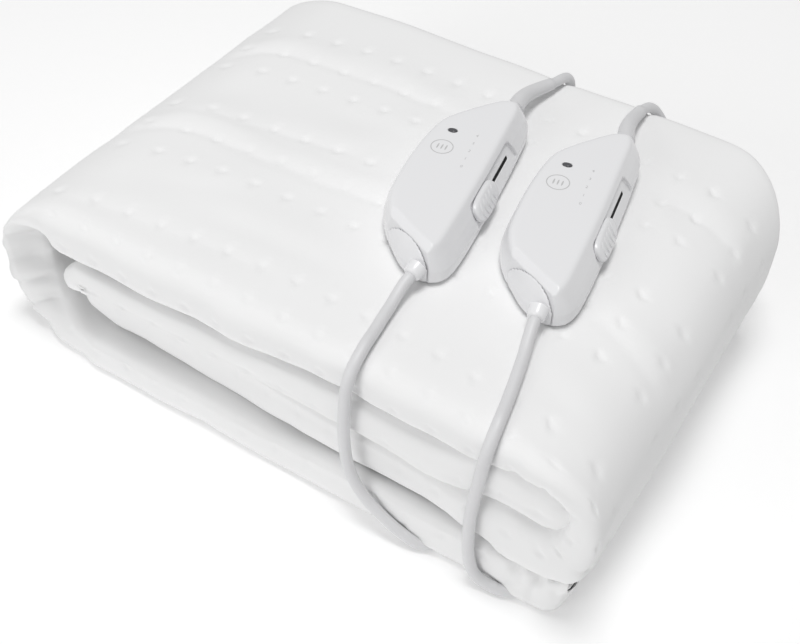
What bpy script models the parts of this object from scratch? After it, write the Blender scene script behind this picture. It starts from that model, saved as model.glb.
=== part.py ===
"""Electric underblanket, folded for storage, with two slider handsets and their leads.

Metres, +Z up, with the origin under the middle of the blanket. X runs along the
long folded face, Y runs from the front face to the back, and the blanket rests on
Z = 0. Run it in Blender to get one object for each piece. The tables below are in
millimetres, measured from the blanket's front left corner.
"""

import math

import bmesh
import bpy
from mathutils import Vector

MM = 0.001
GAP = 0.3 * MM                      # clearance between pieces that touch
MIDDLE = (190.0, 142.6)             # middle of the blanket, in the tables' millimetres


# ---------------------------------------------------------------- blanket sizes

CLOTH = 3.4 * MM                    # thickness of the fleece
LAYERS = 4                          # the strip is the sheet folded in half twice
FRONT_STEPS = 8                     # facets round the front fold of a strip
SMALL_STEPS = 4                     # facets round the folds inside a strip

# One row for each flat run of the folded strip, from the free end underneath to
# the free end inside, in millimetres: where the strip's mid height lies, half its
# thickness, and how far it reaches to the front and to the back.
PANELS = (
    # name,          mid z, half, front, back
    ("bottom",        12.4, 12.4,   4.2, 281.0),
    ("top",           99.2, 16.0,   5.5, 281.0),
    ("lower inside",  38.5, 12.4,  10.0, 279.0),
    ("upper inside",  67.2, 14.2,   5.0, 278.0),
)

# One row for each turn between two runs, in millimetres: the strip's mid line
# furthest out, the reach of the turn along X, half the thickness there, how far
# the strip reaches there, how square the turn is and its number of facets.
TURNS = (
    # name,          far x, reach, half, front, back, power, facets
    ("left outside",   8.0,  43.0,  8.0,  10.0, 276.0, 2.2, 12),
    ("right outside", 371.5, 32.0,  8.5,   6.5, 268.0, 2.6, 11),
    ("left inside",   53.5,  14.6,  9.6,   8.0, 276.0, 2.0, 8),
)

BOTTOM_END = 370.0                  # free end under the right side
INSIDE_END = 352.0                  # free end inside the right turn


# ---------------------------------------------------------------- handset sizes

HANDSET_FLOOR = 115.5               # just clear of the blanket's top
HANDSETS = (
    # name,    x,     y,  turned (degrees)
    ("left",  218.0, 134.4, 10.5),
    ("right", 285.2, 142.4, 10.2),
)

# Corners of the handset seen from above, in millimetres in its own frame, whose
# +Y points to the neck: once at its widest and once round the flat top.
HANDSET_CORNERS = (
    # name,          wide x, wide y, top x, top y
    ("cheek",         -27.0, -17.0, -23.0, -17.0),
    ("nose left",     -25.5, -28.0, -21.5, -29.0),
    ("nose slope",    -19.5, -40.0, -16.0, -39.5),
    ("nose",          -11.0, -51.0,  -8.5, -48.5),
    ("lead left",      -2.0, -61.0,  -0.5, -56.0),
    ("lead right",      8.0, -65.8,   6.5, -60.0),
    ("nose right",     17.0, -65.0,  13.5, -60.5),
    ("front right",    23.5, -59.4,  17.5, -55.0),
    ("side front",     26.0, -45.0,  18.5, -42.0),
    ("side middle",    27.0,   2.0,  19.5,   0.0),
    ("side back",      26.5,  46.0,  19.0,  46.0),
    ("neck right",     25.0,  79.0,  19.0,  75.0),
    ("neck left",       9.0,  80.0,   9.0,  75.0),
    ("neck hollow",     0.0,  72.0,   1.0,  68.0),
    ("shoulder",      -18.0,  52.0, -16.0,  48.0),
    ("left back",     -24.5,  40.0, -20.5,  38.0),
    ("left middle",   -27.0,  10.0, -23.5,  10.0),
)

# Heights of the handset's rings: how far each has gone from the widest outline
# to the top one, and how far it is drawn in for the rounded edges.
HANDSET_LEVELS = (
    # z,  share of top, inset
    (0.0,  0.0,  2.6),
    (1.2,  0.0,  0.9),
    (4.0,  0.0,  0.0),
    (9.0,  0.0,  0.0),
    (16.0, 0.45, 0.0),
    (20.6, 0.85, 0.0),
    (22.9, 1.0,  0.7),
    (23.6, 1.0,  3.0),
)
HANDSET_TOP = 23.6

# The seam between the housing and the nose cap, seen from above.
SEAM = ((-34.0, -35.5), (-25.0, -38.5), (-13.5, -45.0), (-4.0, -52.0), (4.5, -57.8),
        (10.6, -61.6), (14.6, -64.2), (16.6, -67.5), (17.5, -76.0))
SEAM_WIDTH = 0.45

SIDE_LOW = (27.0, 9.0)              # the sloping right side: across, height
SIDE_LEAN = -0.54                   # across for each millimetre of height

TRAVEL = 28.0                       # four steps of 7 mm between the printed marks
RECESS = ((-22.0, 7.0), (-20.4, 5.4), (43.0, 5.4), (45.6, 8.6), (42.2, 18.0), (40.0, 19.6),
          (-18.4, 19.6), (-20.4, 18.6), (-22.6, 13.0))
RECESS_DEPTH = 2.4
SLOT = ((-13.5, 11.2), (37.0, 11.2), (37.0, 13.0), (-13.5, 13.0))
SLOT_DEPTH = 5.6
THUMB_FRONT, THUMB_BACK = -19.2, 8.6
THUMB_LOW, THUMB_HIGH = 6.4, 18.6
RIBS = 5
RIB_PITCH = 3.6
STEM_FRONT, STEM_BACK = -11.5, -1.5

LAMP_AT = (-9.0, 33.5)
LAMP_HALF = (2.6, 1.7)


# ------------------------------------------------------------------ lead sizes

LEAD = 6.4 * MM                     # diameter
LEAD_SPACING = 2.2 * LEAD

# Routes in millimetres, chosen by hand: out of the piece, down under gravity and
# along what it lies on.
FRONT_LEADS = {
    "left": ((238.2, 66.7, 124.3), (237.7, 61.0, 122.8), (237.8, 55.2, 120.7),
             (238.6, 47.6, 119.2), (239.8, 38.6, 118.9), (241.4, 28.6, 118.9),
             (243.2, 17.2, 119.5), (244.4, 5.2, 115.2), (243.8, 0.7, 104.6),
             (242.6, 0.5, 91.0), (241.8, 0.5, 77.0), (241.9, 0.4, 62.0), (243.4, 0.3, 47.0),
             (247.2, 0.2, 34.6), (254.0, 0.1, 24.4), (262.6, 0.1, 17.2), (271.2, 0.0, 12.2),
             (279.6, 0.7, 8.0), (288.0, 2.4, 4.6)),
    "right": ((304.9, 74.6, 124.3), (306.0, 69.0, 122.9), (307.6, 62.6, 120.9),
              (309.9, 54.4, 119.2), (314.0, 38.4, 118.9), (317.7, 22.6, 118.9),
              (319.8, 12.4, 119.2), (320.8, 4.2, 114.4), (320.2, 0.7, 103.4),
              (318.8, 0.5, 88.0), (317.3, 0.5, 72.0), (316.4, 0.4, 56.0),
              (316.4, 0.4, 42.0), (317.2, 0.2, 29.0), (319.0, 0.0, 18.0),
              (322.6, 0.0, 9.4), (329.2, 1.2, 4.8), (338.0, 2.4, 4.0)),
}

# The sleeves where the mains leads leave the necks, and their radii at both ends.
SLEEVES = {
    "left": ((215.1, 217.8, 126.8), (213.3, 226.0, 126.4), (212.5, 235.0, 125.2),
             (213.0, 244.5, 123.3), (214.8, 254.0, 121.5), (217.0, 262.5, 120.3)),
    "right": ((283.0, 226.0, 126.8), (280.0, 233.5, 126.4), (277.4, 242.0, 125.2),
              (275.7, 251.0, 123.3), (274.9, 259.6, 121.4), (275.0, 267.5, 120.3)),
}
SLEEVE_RADII = (5.4 * MM, 3.9 * MM)
COLLAR_LONG = 3.4 * MM
COLLAR_RADII = (4.1 * MM, 5.0 * MM)

MAINS_LEADS = {
    "left": ((217.3, 263.5, 120.1), (218.3, 269.5, 119.6), (219.0, 275.5, 119.2),
             (219.6, 282.2, 117.2), (220.0, 286.8, 111.6), (220.4, 288.6, 103.0),
             (221.2, 290.2, 91.6), (222.4, 293.2, 76.0), (223.8, 297.0, 58.0),
             (225.0, 300.6, 42.0), (226.0, 304.8, 28.0), (226.6, 310.6, 15.6),
             (226.6, 319.6, 7.4), (226.7, 330.0, 4.8)),
    "right": ((275.1, 268.5, 120.1), (275.6, 273.4, 119.5), (276.6, 279.2, 118.4),
              (278.6, 284.6, 114.6), (282.0, 288.0, 107.0), (288.0, 289.8, 96.6),
              (297.0, 292.6, 84.0), (307.0, 296.0, 70.0), (316.0, 299.4, 56.0),
              (323.2, 302.4, 42.0), (327.8, 305.6, 28.0), (329.6, 310.8, 15.6),
              (329.7, 319.6, 7.4), (329.7, 330.0, 4.8)),
}

COILS = {"left": (178.0, 334.0), "right": (281.0, 334.0)}
COIL_INSIDE, COIL_OUTSIDE = 31.0, 44.6
COIL_LOW, COIL_HIGH = 1.6, 28.0
TIE_WIDTH, TIE_THICK = 8.0, 1.0
TIE_SLACK = 0.6                     # room for the curve of the coil's inside
TIE_ANGLE = {"left": 250.0, "right": 290.0}

PLUG_TAILS = {
    "left": ((129.3, 333.0, 8.4), (129.0, 324.0, 6.0), (125.8, 315.0, 4.4),
             (119.4, 308.2, 5.2), (112.0, 306.2, 6.7), (104.0, 306.0, 7.0)),
    "right": ((280.0, 382.9, 8.4), (268.0, 383.3, 6.0), (252.0, 383.4, 4.2),
              (230.0, 383.6, 3.5), (205.0, 383.6, 3.5), (180.0, 383.4, 3.5),
              (158.0, 382.0, 3.7), (141.0, 378.8, 5.4), (128.0, 377.1, 6.8),
              (119.0, 377.0, 7.0)),
}
PLUG_NECKS = {"left": (103.3, 306.0), "right": (118.3, 377.0)}   # the plugs point to -X
PLUG_AXIS = 7.0                     # height of the pins above the floor
PLUG_SECTIONS = (
    # along, half width, half height, cut corner
    (0.0,   3.7, 3.7, 2.2),
    (20.8,  5.2, 5.0, 2.9),
    (21.6,  7.0, 5.6, 2.6),
    (27.6, 11.0, 6.4, 3.0),
    (41.6, 16.8, 6.8, 3.6),
    (54.6, 17.6, 6.8, 4.2),
    (56.6, 16.8, 6.2, 4.0),
)
PLUG_PIN, PLUG_PIN_LONG, PLUG_PIN_APART = 4.0, 19.0, 18.6


# ------------------------------------------------------------------- materials

def material(name, colour, roughness, metallic=0.0):
    """Plain Principled material, made once for each name."""
    made = bpy.data.materials.get(name)
    if made:
        return made
    made = bpy.data.materials.new(name)
    made.use_nodes = True
    shader = made.node_tree.nodes["Principled BSDF"]
    shader.inputs["Base Color"].default_value = (*colour, 1.0)
    shader.inputs["Roughness"].default_value = roughness
    shader.inputs["Metallic"].default_value = metallic
    return made


def finish(obj, colour, roughness, metallic=0.0):
    """Give a piece a material of its own."""
    obj.data.materials.append(material(obj.name, colour, roughness, metallic))
    return obj


WHITE_CLOTH = ((0.86, 0.86, 0.86), 0.95)
WHITE_SHELL = ((0.80, 0.80, 0.81), 0.35)
WHITE_LEAD = ((0.74, 0.74, 0.75), 0.45)
GREY_LAMP = ((0.08, 0.08, 0.09), 0.25)
CLEAR_TIE = ((0.70, 0.70, 0.70), 0.40)
PIN_METAL = ((0.78, 0.74, 0.66), 0.25, 1.0)


# ---------------------------------------------------------------- mesh helpers

def placed(x, y, z):
    """Place in metres of a point given in the tables' millimetres."""
    return Vector((x - MIDDLE[0], y - MIDDLE[1], z)) * MM


def mesh_object(name, verts, faces):
    """Closed mesh object whose faces all point outwards."""
    mesh = bpy.data.meshes.new(name)
    mesh.from_pydata([tuple(v) for v in verts], [], faces)
    work = bmesh.new()
    work.from_mesh(mesh)
    bmesh.ops.recalc_face_normals(work, faces=work.faces[:])
    work.to_mesh(mesh)
    work.free()
    obj = bpy.data.objects.new(name, mesh)
    bpy.context.scene.collection.objects.link(obj)
    return obj


def skin(name, rings):
    """Solid through closed rings of equal length, with a face on each end."""
    count = len(rings[0])
    verts = [point for ring in rings for point in ring]
    faces = [tuple(range(count)), tuple(range((len(rings) - 1) * count, len(rings) * count))]
    for row in range(len(rings) - 1):
        low, high = row * count, (row + 1) * count
        for i in range(count):
            j = (i + 1) % count
            faces.append((low + i, low + j, high + j, high + i))
    return mesh_object(name, verts, faces)


def soften(outline, rounds=1):
    """Cut the corners of a closed outline, so that it reads as a curve."""
    for _ in range(rounds):
        cut = []
        for i, here in enumerate(outline):
            after = outline[(i + 1) % len(outline)]
            cut += [here.lerp(after, 0.25), here.lerp(after, 0.75)]
        outline = cut
    return outline


def inset(outline, amount):
    """Move a closed anticlockwise outline inwards by an amount."""
    moved = []
    for i, here in enumerate(outline):
        along = (outline[(i + 1) % len(outline)] - outline[i - 1]).normalized()
        moved.append(here + Vector((-along.y, along.x)) * amount)
    return moved


def subtract(target, cutter, operation="DIFFERENCE"):
    """Boolean with a hidden cutter."""
    cutter.display_type = "WIRE"
    cutter.hide_render = True
    cut = target.modifiers.new(cutter.name, "BOOLEAN")
    cut.operation = operation
    cut.solver = "EXACT"
    cut.object = cutter


def empty(name, location, turned):
    frame = bpy.data.objects.new(name, None)
    bpy.context.scene.collection.objects.link(frame)
    frame.location = location
    frame.rotation_euler = (0.0, 0.0, math.radians(turned))
    return frame


# --------------------------------------------------------------------- blanket

def turn_stations(turn, before, after):
    """Stations round one turn, from the run before it to the run after it."""
    _, far, reach, half, front, back, power, facets = turn
    _, z0, half0, front0, back0 = before
    _, z1, half1, front1, back1 = after
    side = 1.0 if z1 < z0 else -1.0          # right turns go down, left turns go up
    centre_x, centre_z = far - side * reach, (z0 + z1) / 2.0
    rise = (z1 - z0) / 2.0
    stations = []
    for i in range(facets + 1):
        angle = math.pi * (i / facets - 0.5)
        across = math.cos(angle) ** (2.0 / power) if 0 < i < facets else 0.0
        up = math.copysign(abs(math.sin(angle)) ** (2.0 / power), angle)
        out = Vector((side * across ** (power - 1.0) / reach,
                      math.copysign(abs(up) ** (power - 1.0), up * rise) / abs(rise)))
        share = math.cos(angle) ** 2
        flat_half, flat_front, flat_back = ((half0, front0, back0) if angle < 0
                                            else (half1, front1, back1))
        stations.append((Vector((centre_x + side * reach * across, centre_z + rise * up)),
                         out.normalized(),
                         flat_half + (half - flat_half) * share,
                         flat_front + (front - flat_front) * share,
                         flat_back + (back - flat_back) * share))
    return stations


def strip_stations():
    """Stations along the strip: mid point and outward normal in XZ, and its sizes."""
    bottom, inner = PANELS[0], PANELS[-1]
    down, up = Vector((0.0, -1.0)), Vector((0.0, 1.0))
    stations = [(Vector((BOTTOM_END, bottom[1])), down, *bottom[2:])]
    for turn, before, after in zip(TURNS, PANELS, PANELS[1:]):
        stations += turn_stations(turn, before, after)
    stations.append((Vector((INSIDE_END, inner[1])), up, *inner[2:]))
    return stations


def arc(centre_y, centre_n, radius, first, last, steps):
    """Points (y, n) on an arc, whose angles are measured from +y."""
    return [(centre_y + radius * math.cos(math.radians(first + (last - first) * i / steps)),
             centre_n + radius * math.sin(math.radians(first + (last - first) * i / steps)))
            for i in range(steps + 1)]


def strip_section(half, front, back):
    """Outline (y, n) of the sheet folded in half twice, the last fold in front."""
    thick = CLOTH / MM
    pitch = (2.0 * half - thick) / (LAYERS - 1)
    outer = half - thick / 2.0               # middle of the outer layers
    inner = pitch / 2.0                      # middle of the inner layers
    fold_y = front + half                    # centre of both front folds
    tail = back - thick / 2.0 - pitch / 2.0  # centre of the fold at the back

    def side(offset):
        """One face of the sheet, from its lower hem round to its upper one."""
        return (
            [(back, -outer - offset)]
            + arc(fold_y, 0.0, outer + offset, -90, -270, FRONT_STEPS)
            + arc(tail, outer - inner, inner + offset, 90, -90, SMALL_STEPS)
            + arc(fold_y, 0.0, inner - offset, 90, 270, SMALL_STEPS)
            + [(back - 2.0, -inner + offset)])

    return side(thick / 2.0) + side(-thick / 2.0)[::-1]


def blanket():
    """The folded sheet as one closed solid."""
    rings = []
    for middle, out, half, front, back in strip_stations():
        rings.append([placed(middle.x + out.x * n, y, middle.y + out.y * n)
                      for y, n in strip_section(half, front, back)])
    return finish(skin("blanket", rings), *WHITE_CLOTH)


# -------------------------------------------------------------------- handsets

def side_at(height):
    """How far across the sloping right side is at a height, in millimetres."""
    return SIDE_LOW[0] + SIDE_LEAN * (height - SIDE_LOW[1])


def side_prism(name, outline, inner, outer):
    """Prism along the sloping side, between two depths measured from it."""
    rings = [[Vector((side_at(z) + depth, y, z)) * MM for y, z in outline]
             for depth in (inner, outer)]
    return skin(name, rings)


def handset_body(name):
    """Housing and nose cap together, before the seam parts them."""
    wide = soften([Vector(row[1:3]) for row in HANDSET_CORNERS], 2)
    top = soften([Vector(row[3:5]) for row in HANDSET_CORNERS], 2)
    rings = []
    for height, share, drawn_in in HANDSET_LEVELS:
        ring = inset([a.lerp(b, share) for a, b in zip(wide, top)], drawn_in)
        rings.append([Vector((p.x, p.y, height)) * MM for p in ring])
    return skin(name, rings)


def seam_block(name, shift):
    """Block in front of the seam, moved forwards by a shift."""
    outline = [(x - shift * 0.45, y - shift * 0.9) for x, y in SEAM] + [(-34.0, -76.0)]
    return skin(name, [[Vector((x, y, z)) * MM for x, y in outline] for z in (-2.0, 27.0)])


def oval(name, centre, half, low, high, steps=20):
    rings = [[Vector((centre[0] + half[0] * math.cos(math.tau * i / steps),
                      centre[1] + half[1] * math.sin(math.tau * i / steps), z)) * MM
              for i in range(steps)] for z in (low, high)]
    return skin(name, rings)


def thumb_slider(name):
    """Ribbed thumb piece that lies on the recess, with a stem in the slot."""
    profile = [(THUMB_FRONT, 0.0), (THUMB_FRONT + 1.6, 3.0)]
    first = (THUMB_FRONT + THUMB_BACK - (RIBS - 1) * RIB_PITCH) / 2.0
    for i in range(RIBS):
        centre = first + i * RIB_PITCH
        profile += [(centre - 1.2, 3.4), (centre - 0.5, 4.4), (centre + 0.5, 4.4),
                    (centre + 1.2, 3.4)]
    profile += [(THUMB_BACK - 1.6, 3.0), (THUMB_BACK, 0.0)]
    floor = GAP / MM - RECESS_DEPTH
    thumb = skin(name, [[Vector((side_at(z) + floor + out, y, z)) * MM for y, out in profile]
                        for z in (THUMB_LOW, THUMB_HIGH)])
    stem = side_prism(name + "_stem", ((STEM_FRONT, 11.6), (STEM_BACK, 11.6),
                                       (STEM_BACK, 12.6), (STEM_FRONT, 12.6)),
                      0.6 - SLOT_DEPTH, floor + 0.8)
    subtract(thumb, stem, "UNION")
    return thumb, stem


def handset(name, x, y, turned):
    """One handset: housing, nose cap, lead collar, slider and lamp."""
    frame = empty(name + "_handset_frame", placed(x, y, HANDSET_FLOOR), turned)

    housing = handset_body(name + "_housing")
    cutters = [
        seam_block(name + "_seam_cut", 0.0),
        side_prism(name + "_recess_cut", RECESS, -RECESS_DEPTH, 12.0),
        side_prism(name + "_slot_cut", SLOT, -SLOT_DEPTH, 0.0),
        oval(name + "_lamp_cut", LAMP_AT, [h + GAP / MM for h in LAMP_HALF],
             HANDSET_TOP - 1.6, HANDSET_TOP + 2.0),
    ]
    for cutter in cutters:
        subtract(housing, cutter)

    cap = handset_body(name + "_nose_cap")
    keep = seam_block(name + "_cap_keep", SEAM_WIDTH)
    subtract(cap, keep, "INTERSECT")

    slider, stem = thumb_slider(name + "_slider")
    lamp = oval(name + "_lamp", LAMP_AT, LAMP_HALF, HANDSET_TOP - 1.3, HANDSET_TOP + 0.4)

    finish(housing, *WHITE_SHELL)
    finish(cap, *WHITE_SHELL)
    finish(slider, *WHITE_SHELL)
    finish(lamp, *GREY_LAMP)
    for piece in [housing, cap, slider, lamp, keep, stem] + cutters:
        piece.parent = frame


# ----------------------------------------------------------------------- leads

def smooth_route(route, spacing):
    """Even points on a smooth curve through a route."""
    knots = [placed(*p) for p in route]
    knots = [knots[0] * 2 - knots[1]] + knots + [knots[-1] * 2 - knots[-2]]
    dense = []
    for a, b, c, d in zip(knots, knots[1:], knots[2:], knots[3:]):
        for i in range(20):
            t = i / 20.0
            dense.append(0.5 * (2 * b + (c - a) * t + (2 * a - 5 * b + 4 * c - d) * t ** 2
                                + (3 * b - a - 3 * c + d) * t ** 3))
    dense.append(knots[-2])
    length = sum((b - a).length for a, b in zip(dense, dense[1:]))
    steps = max(2, round(length / spacing))
    points, walked, target = [dense[0]], 0.0, length / steps
    for a, b in zip(dense, dense[1:]):
        span = (b - a).length
        while walked + span >= target * len(points) and len(points) < steps:
            points.append(a.lerp(b, (target * len(points) - walked) / span))
        walked += span
    return points + [dense[-1]]


def tube(name, route, radii, spacing=LEAD_SPACING, sides=3):
    """Tube along a route, with a radius at each end and filled caps."""
    points = smooth_route(route, spacing)
    curve = bpy.data.curves.new(name, "CURVE")
    curve.dimensions = "3D"
    curve.bevel_depth = radii[0]
    curve.bevel_resolution = sides
    curve.use_fill_caps = True
    spline = curve.splines.new("POLY")
    spline.points.add(len(points) - 1)
    for i, (knot, point) in enumerate(zip(spline.points, points)):
        knot.co = (*point, 1.0)
        share = i / (len(points) - 1)
        knot.radius = 1.0 + (radii[1] / radii[0] - 1.0) * share
    obj = bpy.data.objects.new(name, curve)
    bpy.context.scene.collection.objects.link(obj)
    return obj


def collar(name, route):
    """Short round collar on the nose cap, just behind the start of a front lead."""
    start, ahead = Vector(route[0]), Vector(route[1])
    back = (start - ahead).normalized()
    ends = [start + back * gap / MM for gap in (GAP, GAP + COLLAR_LONG)]
    return tube(name, [tuple(end) for end in ends], COLLAR_RADII, COLLAR_LONG / 2, 4)


def coil(name, centre):
    """The outer shape of a wound lead: a flat ring."""
    profile = [(COIL_INSIDE + 2, COIL_LOW), (COIL_OUTSIDE - 2, COIL_LOW),
               (COIL_OUTSIDE, COIL_LOW + 2), (COIL_OUTSIDE, COIL_HIGH - 2),
               (COIL_OUTSIDE - 2, COIL_HIGH), (COIL_INSIDE + 2, COIL_HIGH),
               (COIL_INSIDE, COIL_HIGH - 2), (COIL_INSIDE, COIL_LOW + 2)]
    count, turns = len(profile), 40
    verts, faces = [], []
    for step in range(turns):
        angle = math.tau * step / turns
        verts += [placed(centre[0] + r * math.cos(angle), centre[1] + r * math.sin(angle), z)
                  for r, z in profile]
        for i in range(count):
            a, b = step * count + i, step * count + (i + 1) % count
            ahead = ((step + 1) % turns - step) * count
            faces.append((a, b, b + ahead, a + ahead))
    return mesh_object(name, verts, faces)


def tie(name, centre, angle):
    """Flat band round the coil's turns."""
    clear = GAP / MM
    middle, out = (COIL_INSIDE + COIL_OUTSIDE) / 2, (COIL_OUTSIDE - COIL_INSIDE) / 2 + clear
    high, low = COIL_HIGH + clear, COIL_LOW - clear
    turn = math.radians(angle)
    radial = Vector((math.cos(turn), math.sin(turn), 0.0))
    along = Vector((-math.sin(turn), math.cos(turn), 0.0))

    def loop(grow):
        corner = 2.1 + grow * 0.5
        i, o, t, b = -out - TIE_SLACK - grow, out + grow, high + grow, low - grow
        return [(i + corner, b), (o - corner, b), (o, b + corner), (o, t - corner),
                (o - corner, t), (i + corner, t), (i, t - corner), (i, b + corner)]

    verts, faces = [], []
    for grow in (0.0, TIE_THICK):
        for half in (-TIE_WIDTH / 2, TIE_WIDTH / 2):
            for r, z in loop(grow):
                spot = Vector((*centre, z)) + radial * (middle + r) + along * half
                verts.append(placed(*spot))
    count = len(loop(0.0))
    for i in range(count):
        j = (i + 1) % count
        for a, b in ((0, 1), (2, 3), (0, 2), (1, 3)):
            faces.append((a * count + i, a * count + j, b * count + j, b * count + i))
    return mesh_object(name, verts, faces)


def plug(name, neck):
    """Flat two-pin plug that points to -X: its body, moulded with a sleeve, and its pins."""
    x, y = neck
    rings = []
    for along, wide, tall, cut in PLUG_SECTIONS:
        outline = [(-wide, -tall + cut), (-wide + cut, -tall), (wide - cut, -tall),
                   (wide, -tall + cut), (wide, tall - cut), (wide - cut, tall),
                   (-wide + cut, tall), (-wide, tall - cut)]
        rings.append([placed(x - along, y + a, PLUG_AXIS + b) for a, b in outline])
    finish(skin(name + "_plug", rings), *WHITE_SHELL)
    root = x - PLUG_SECTIONS[-1][0] - GAP / MM
    for label, offset in (("near", -PLUG_PIN_APART / 2), ("far", PLUG_PIN_APART / 2)):
        pin = tube(f"{name}_plug_pin_{label}", ((root, y + offset, PLUG_AXIS),
                                                (root - PLUG_PIN_LONG, y + offset, PLUG_AXIS)),
                   (PLUG_PIN / 2 * MM, PLUG_PIN / 2 * MM), 9.5 * MM)
        finish(pin, *PIN_METAL)


def leads(name):
    """Everything on one handset's leads."""
    radius = LEAD / 2
    pieces = [
        tube(name + "_front_lead", FRONT_LEADS[name], (radius, radius)),
        tube(name + "_neck_sleeve", SLEEVES[name], SLEEVE_RADII, 7 * MM),
        tube(name + "_mains_lead", MAINS_LEADS[name], (radius, radius)),
        tube(name + "_plug_tail", PLUG_TAILS[name], (radius, radius)),
        coil(name + "_coil", COILS[name]),
    ]
    for piece in pieces:
        finish(piece, *WHITE_LEAD)
    finish(collar(name + "_lead_collar", FRONT_LEADS[name]), *WHITE_SHELL)
    finish(tie(name + "_tie", COILS[name], TIE_ANGLE[name]), *CLEAR_TIE)
    plug(name, PLUG_NECKS[name])


def main():
    for obj in list(bpy.data.objects):
        bpy.data.objects.remove(obj, do_unlink=True)
    blanket()
    for name, x, y, turned in HANDSETS:
        handset(name, x, y, turned)
        leads(name)


main()
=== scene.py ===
"""Looks of a folded electric underblanket with two slider handsets and their leads.

Laid out as a Blender add-on and run as a script. Places and sizes in the tables are in
millimetres from the blanket's front left corner, and placed() turns them into metres.
X runs along the long folded face, Y from the front to the back, and Z = 0 is the floor.
"""

import math

import bmesh
import bpy
import numpy as np
from bpy.props import FloatProperty, FloatVectorProperty, IntProperty, PointerProperty
from mathutils import Matrix, Vector


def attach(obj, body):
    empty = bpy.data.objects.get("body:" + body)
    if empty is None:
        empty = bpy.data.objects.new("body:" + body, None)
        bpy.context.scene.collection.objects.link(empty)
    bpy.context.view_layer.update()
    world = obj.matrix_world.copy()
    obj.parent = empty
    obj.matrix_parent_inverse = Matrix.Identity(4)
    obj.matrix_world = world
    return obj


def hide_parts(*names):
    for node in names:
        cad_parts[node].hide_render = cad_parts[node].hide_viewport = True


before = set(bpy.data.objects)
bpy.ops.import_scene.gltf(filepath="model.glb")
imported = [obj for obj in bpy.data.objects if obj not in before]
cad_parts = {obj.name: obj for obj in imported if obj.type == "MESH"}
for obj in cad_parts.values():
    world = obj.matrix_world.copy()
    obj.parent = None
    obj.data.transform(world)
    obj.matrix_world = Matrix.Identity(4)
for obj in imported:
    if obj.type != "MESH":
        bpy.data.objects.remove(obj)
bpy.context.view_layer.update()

bl_info = {
    "name": "Folded Electric Underblanket",
    "version": (1, 0, 0),
    "blender": (4, 5, 0),
    "location": "View3D > Sidebar > Underblanket",
    "description": "Folded fleece underblanket with two slider handsets and their leads",
    "category": "Object",
}

MM = 0.001
MIDDLE = (190.0, 142.6)             # middle of the blanket, in the tables' millimetres
SIDES = ("left", "right")


# ------------------------------------------------------------------ the blanket

LAYERS = 4                          # the strip is the sheet folded in half twice

# The sheet's parts across the strip, from the lower hem to the inner hem.
LOWEST, FRONT_FOLD, HIGHEST, BACK_FOLD, THIRD, INNER_FOLD, SECOND = range(7)

# The strip's runs and turns, in order from the free end underneath to the one inside.
BOTTOM, LEFT_TURN, TOP, RIGHT_TURN, LOWER, INNER_TURN, UPPER = range(7)

# Flat runs of the folded strip, from the free end underneath to the free end inside:
# mid height, half the thickness, and how far it reaches to the front and the back.
PANELS = (
    # name,          mid z, half, front, back
    ("bottom",        12.4, 12.4,   4.2, 281.0),
    ("top",           99.2, 16.0,   5.5, 281.0),
    ("lower inside",  38.5, 12.4,  10.0, 279.0),
    ("upper inside",  67.2, 14.2,   5.0, 278.0),
)

# Turns between the runs: the strip's mid line furthest out, the reach along X, half
# the thickness there, how far the strip reaches, and how square the turn's halves are.
TURNS = (
    # name,          far x, reach, half, front, back, power of its first and second half
    ("left outside",   8.0,  43.0,  7.2,   7.0, 276.0, 2.2, 2.2),
    ("right outside", 371.5, 32.0,  8.5,   6.5, 268.0, 2.6, 4.4),
    ("left inside",   52.0,  12.5,  9.6,   8.0, 276.0, 3.4, 6.0),
)
BOTTOM_END = 370.5                  # free end under the right side
INSIDE_END = 367.5                  # free end inside the right turn: the tongue in front

FRONT_POWER = 2.5                   # how square the rolled front edges are
VALLEY_POWER = 4.5                  # and where one run's front lies on another's

# Rows of welded dots, by how far over the sheet they are from the front edge, and how
# much each row is shifted along X.
DOT_ROWS = ((-5.0, 15.0), (19.5, 9.0), (43.6, 0.0), (95.6, 0.0), (120.6, 0.0), (144.6, 0.0),
            (193.6, 0.0), (216.6, 0.0), (242.6, 0.0))
CREASED_GAPS = (95.6, 120.6, 193.6)  # rows before the gaps that the main creases run through
DOT_FIRST = 55.8                    # X of a dot on the top
ROW_ARCH = (200.0, 4.0e-4, 7.5e-4)  # the rows bow: X of the crown, and the fall on each side

# Creases on the top: height and width in millimetres, then the points they run through.
CREASES = (
    (2.9, 3.2, ((24, 188), (40, 198), (58, 205), (101, 209), (140, 210), (178, 209))),
    (1.6, 3.0, ((46, 124), (62, 128), (79, 130), (104, 134), (128, 138), (154, 140))),
    (3.3, 3.2, ((24, 95), (50, 106), (71, 110), (115, 110), (145, 111), (167, 113), (196, 115))),
    (1.8, 3.2, ((40, 22), (73, 30), (114, 33), (145, 35), (174, 36))),
    (1.3, 3.2, ((76, 64), (95, 70), (118, 79))),
    (1.6, 3.4, ((116, 54), (140, 55), (163, 56), (204, 58))),
    (2.0, 3.8, ((296, 212), (320, 207), (335, 204), (354, 198), (380, 182))),
    (1.4, 3.6, ((308, 191), (320, 182), (340, 168))),
    (2.2, 3.6, ((312, 109), (328, 101), (341, 95), (353, 89), (380, 80))),
    (1.3, 4.4, ((286, 52), (320, 46), (352, 37))),
    (1.1, 4.4, ((255, 262), (285, 250), (322, 243))),
    (1.0, 3.6, ((120, 168), (150, 172), (182, 173))),
)

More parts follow.
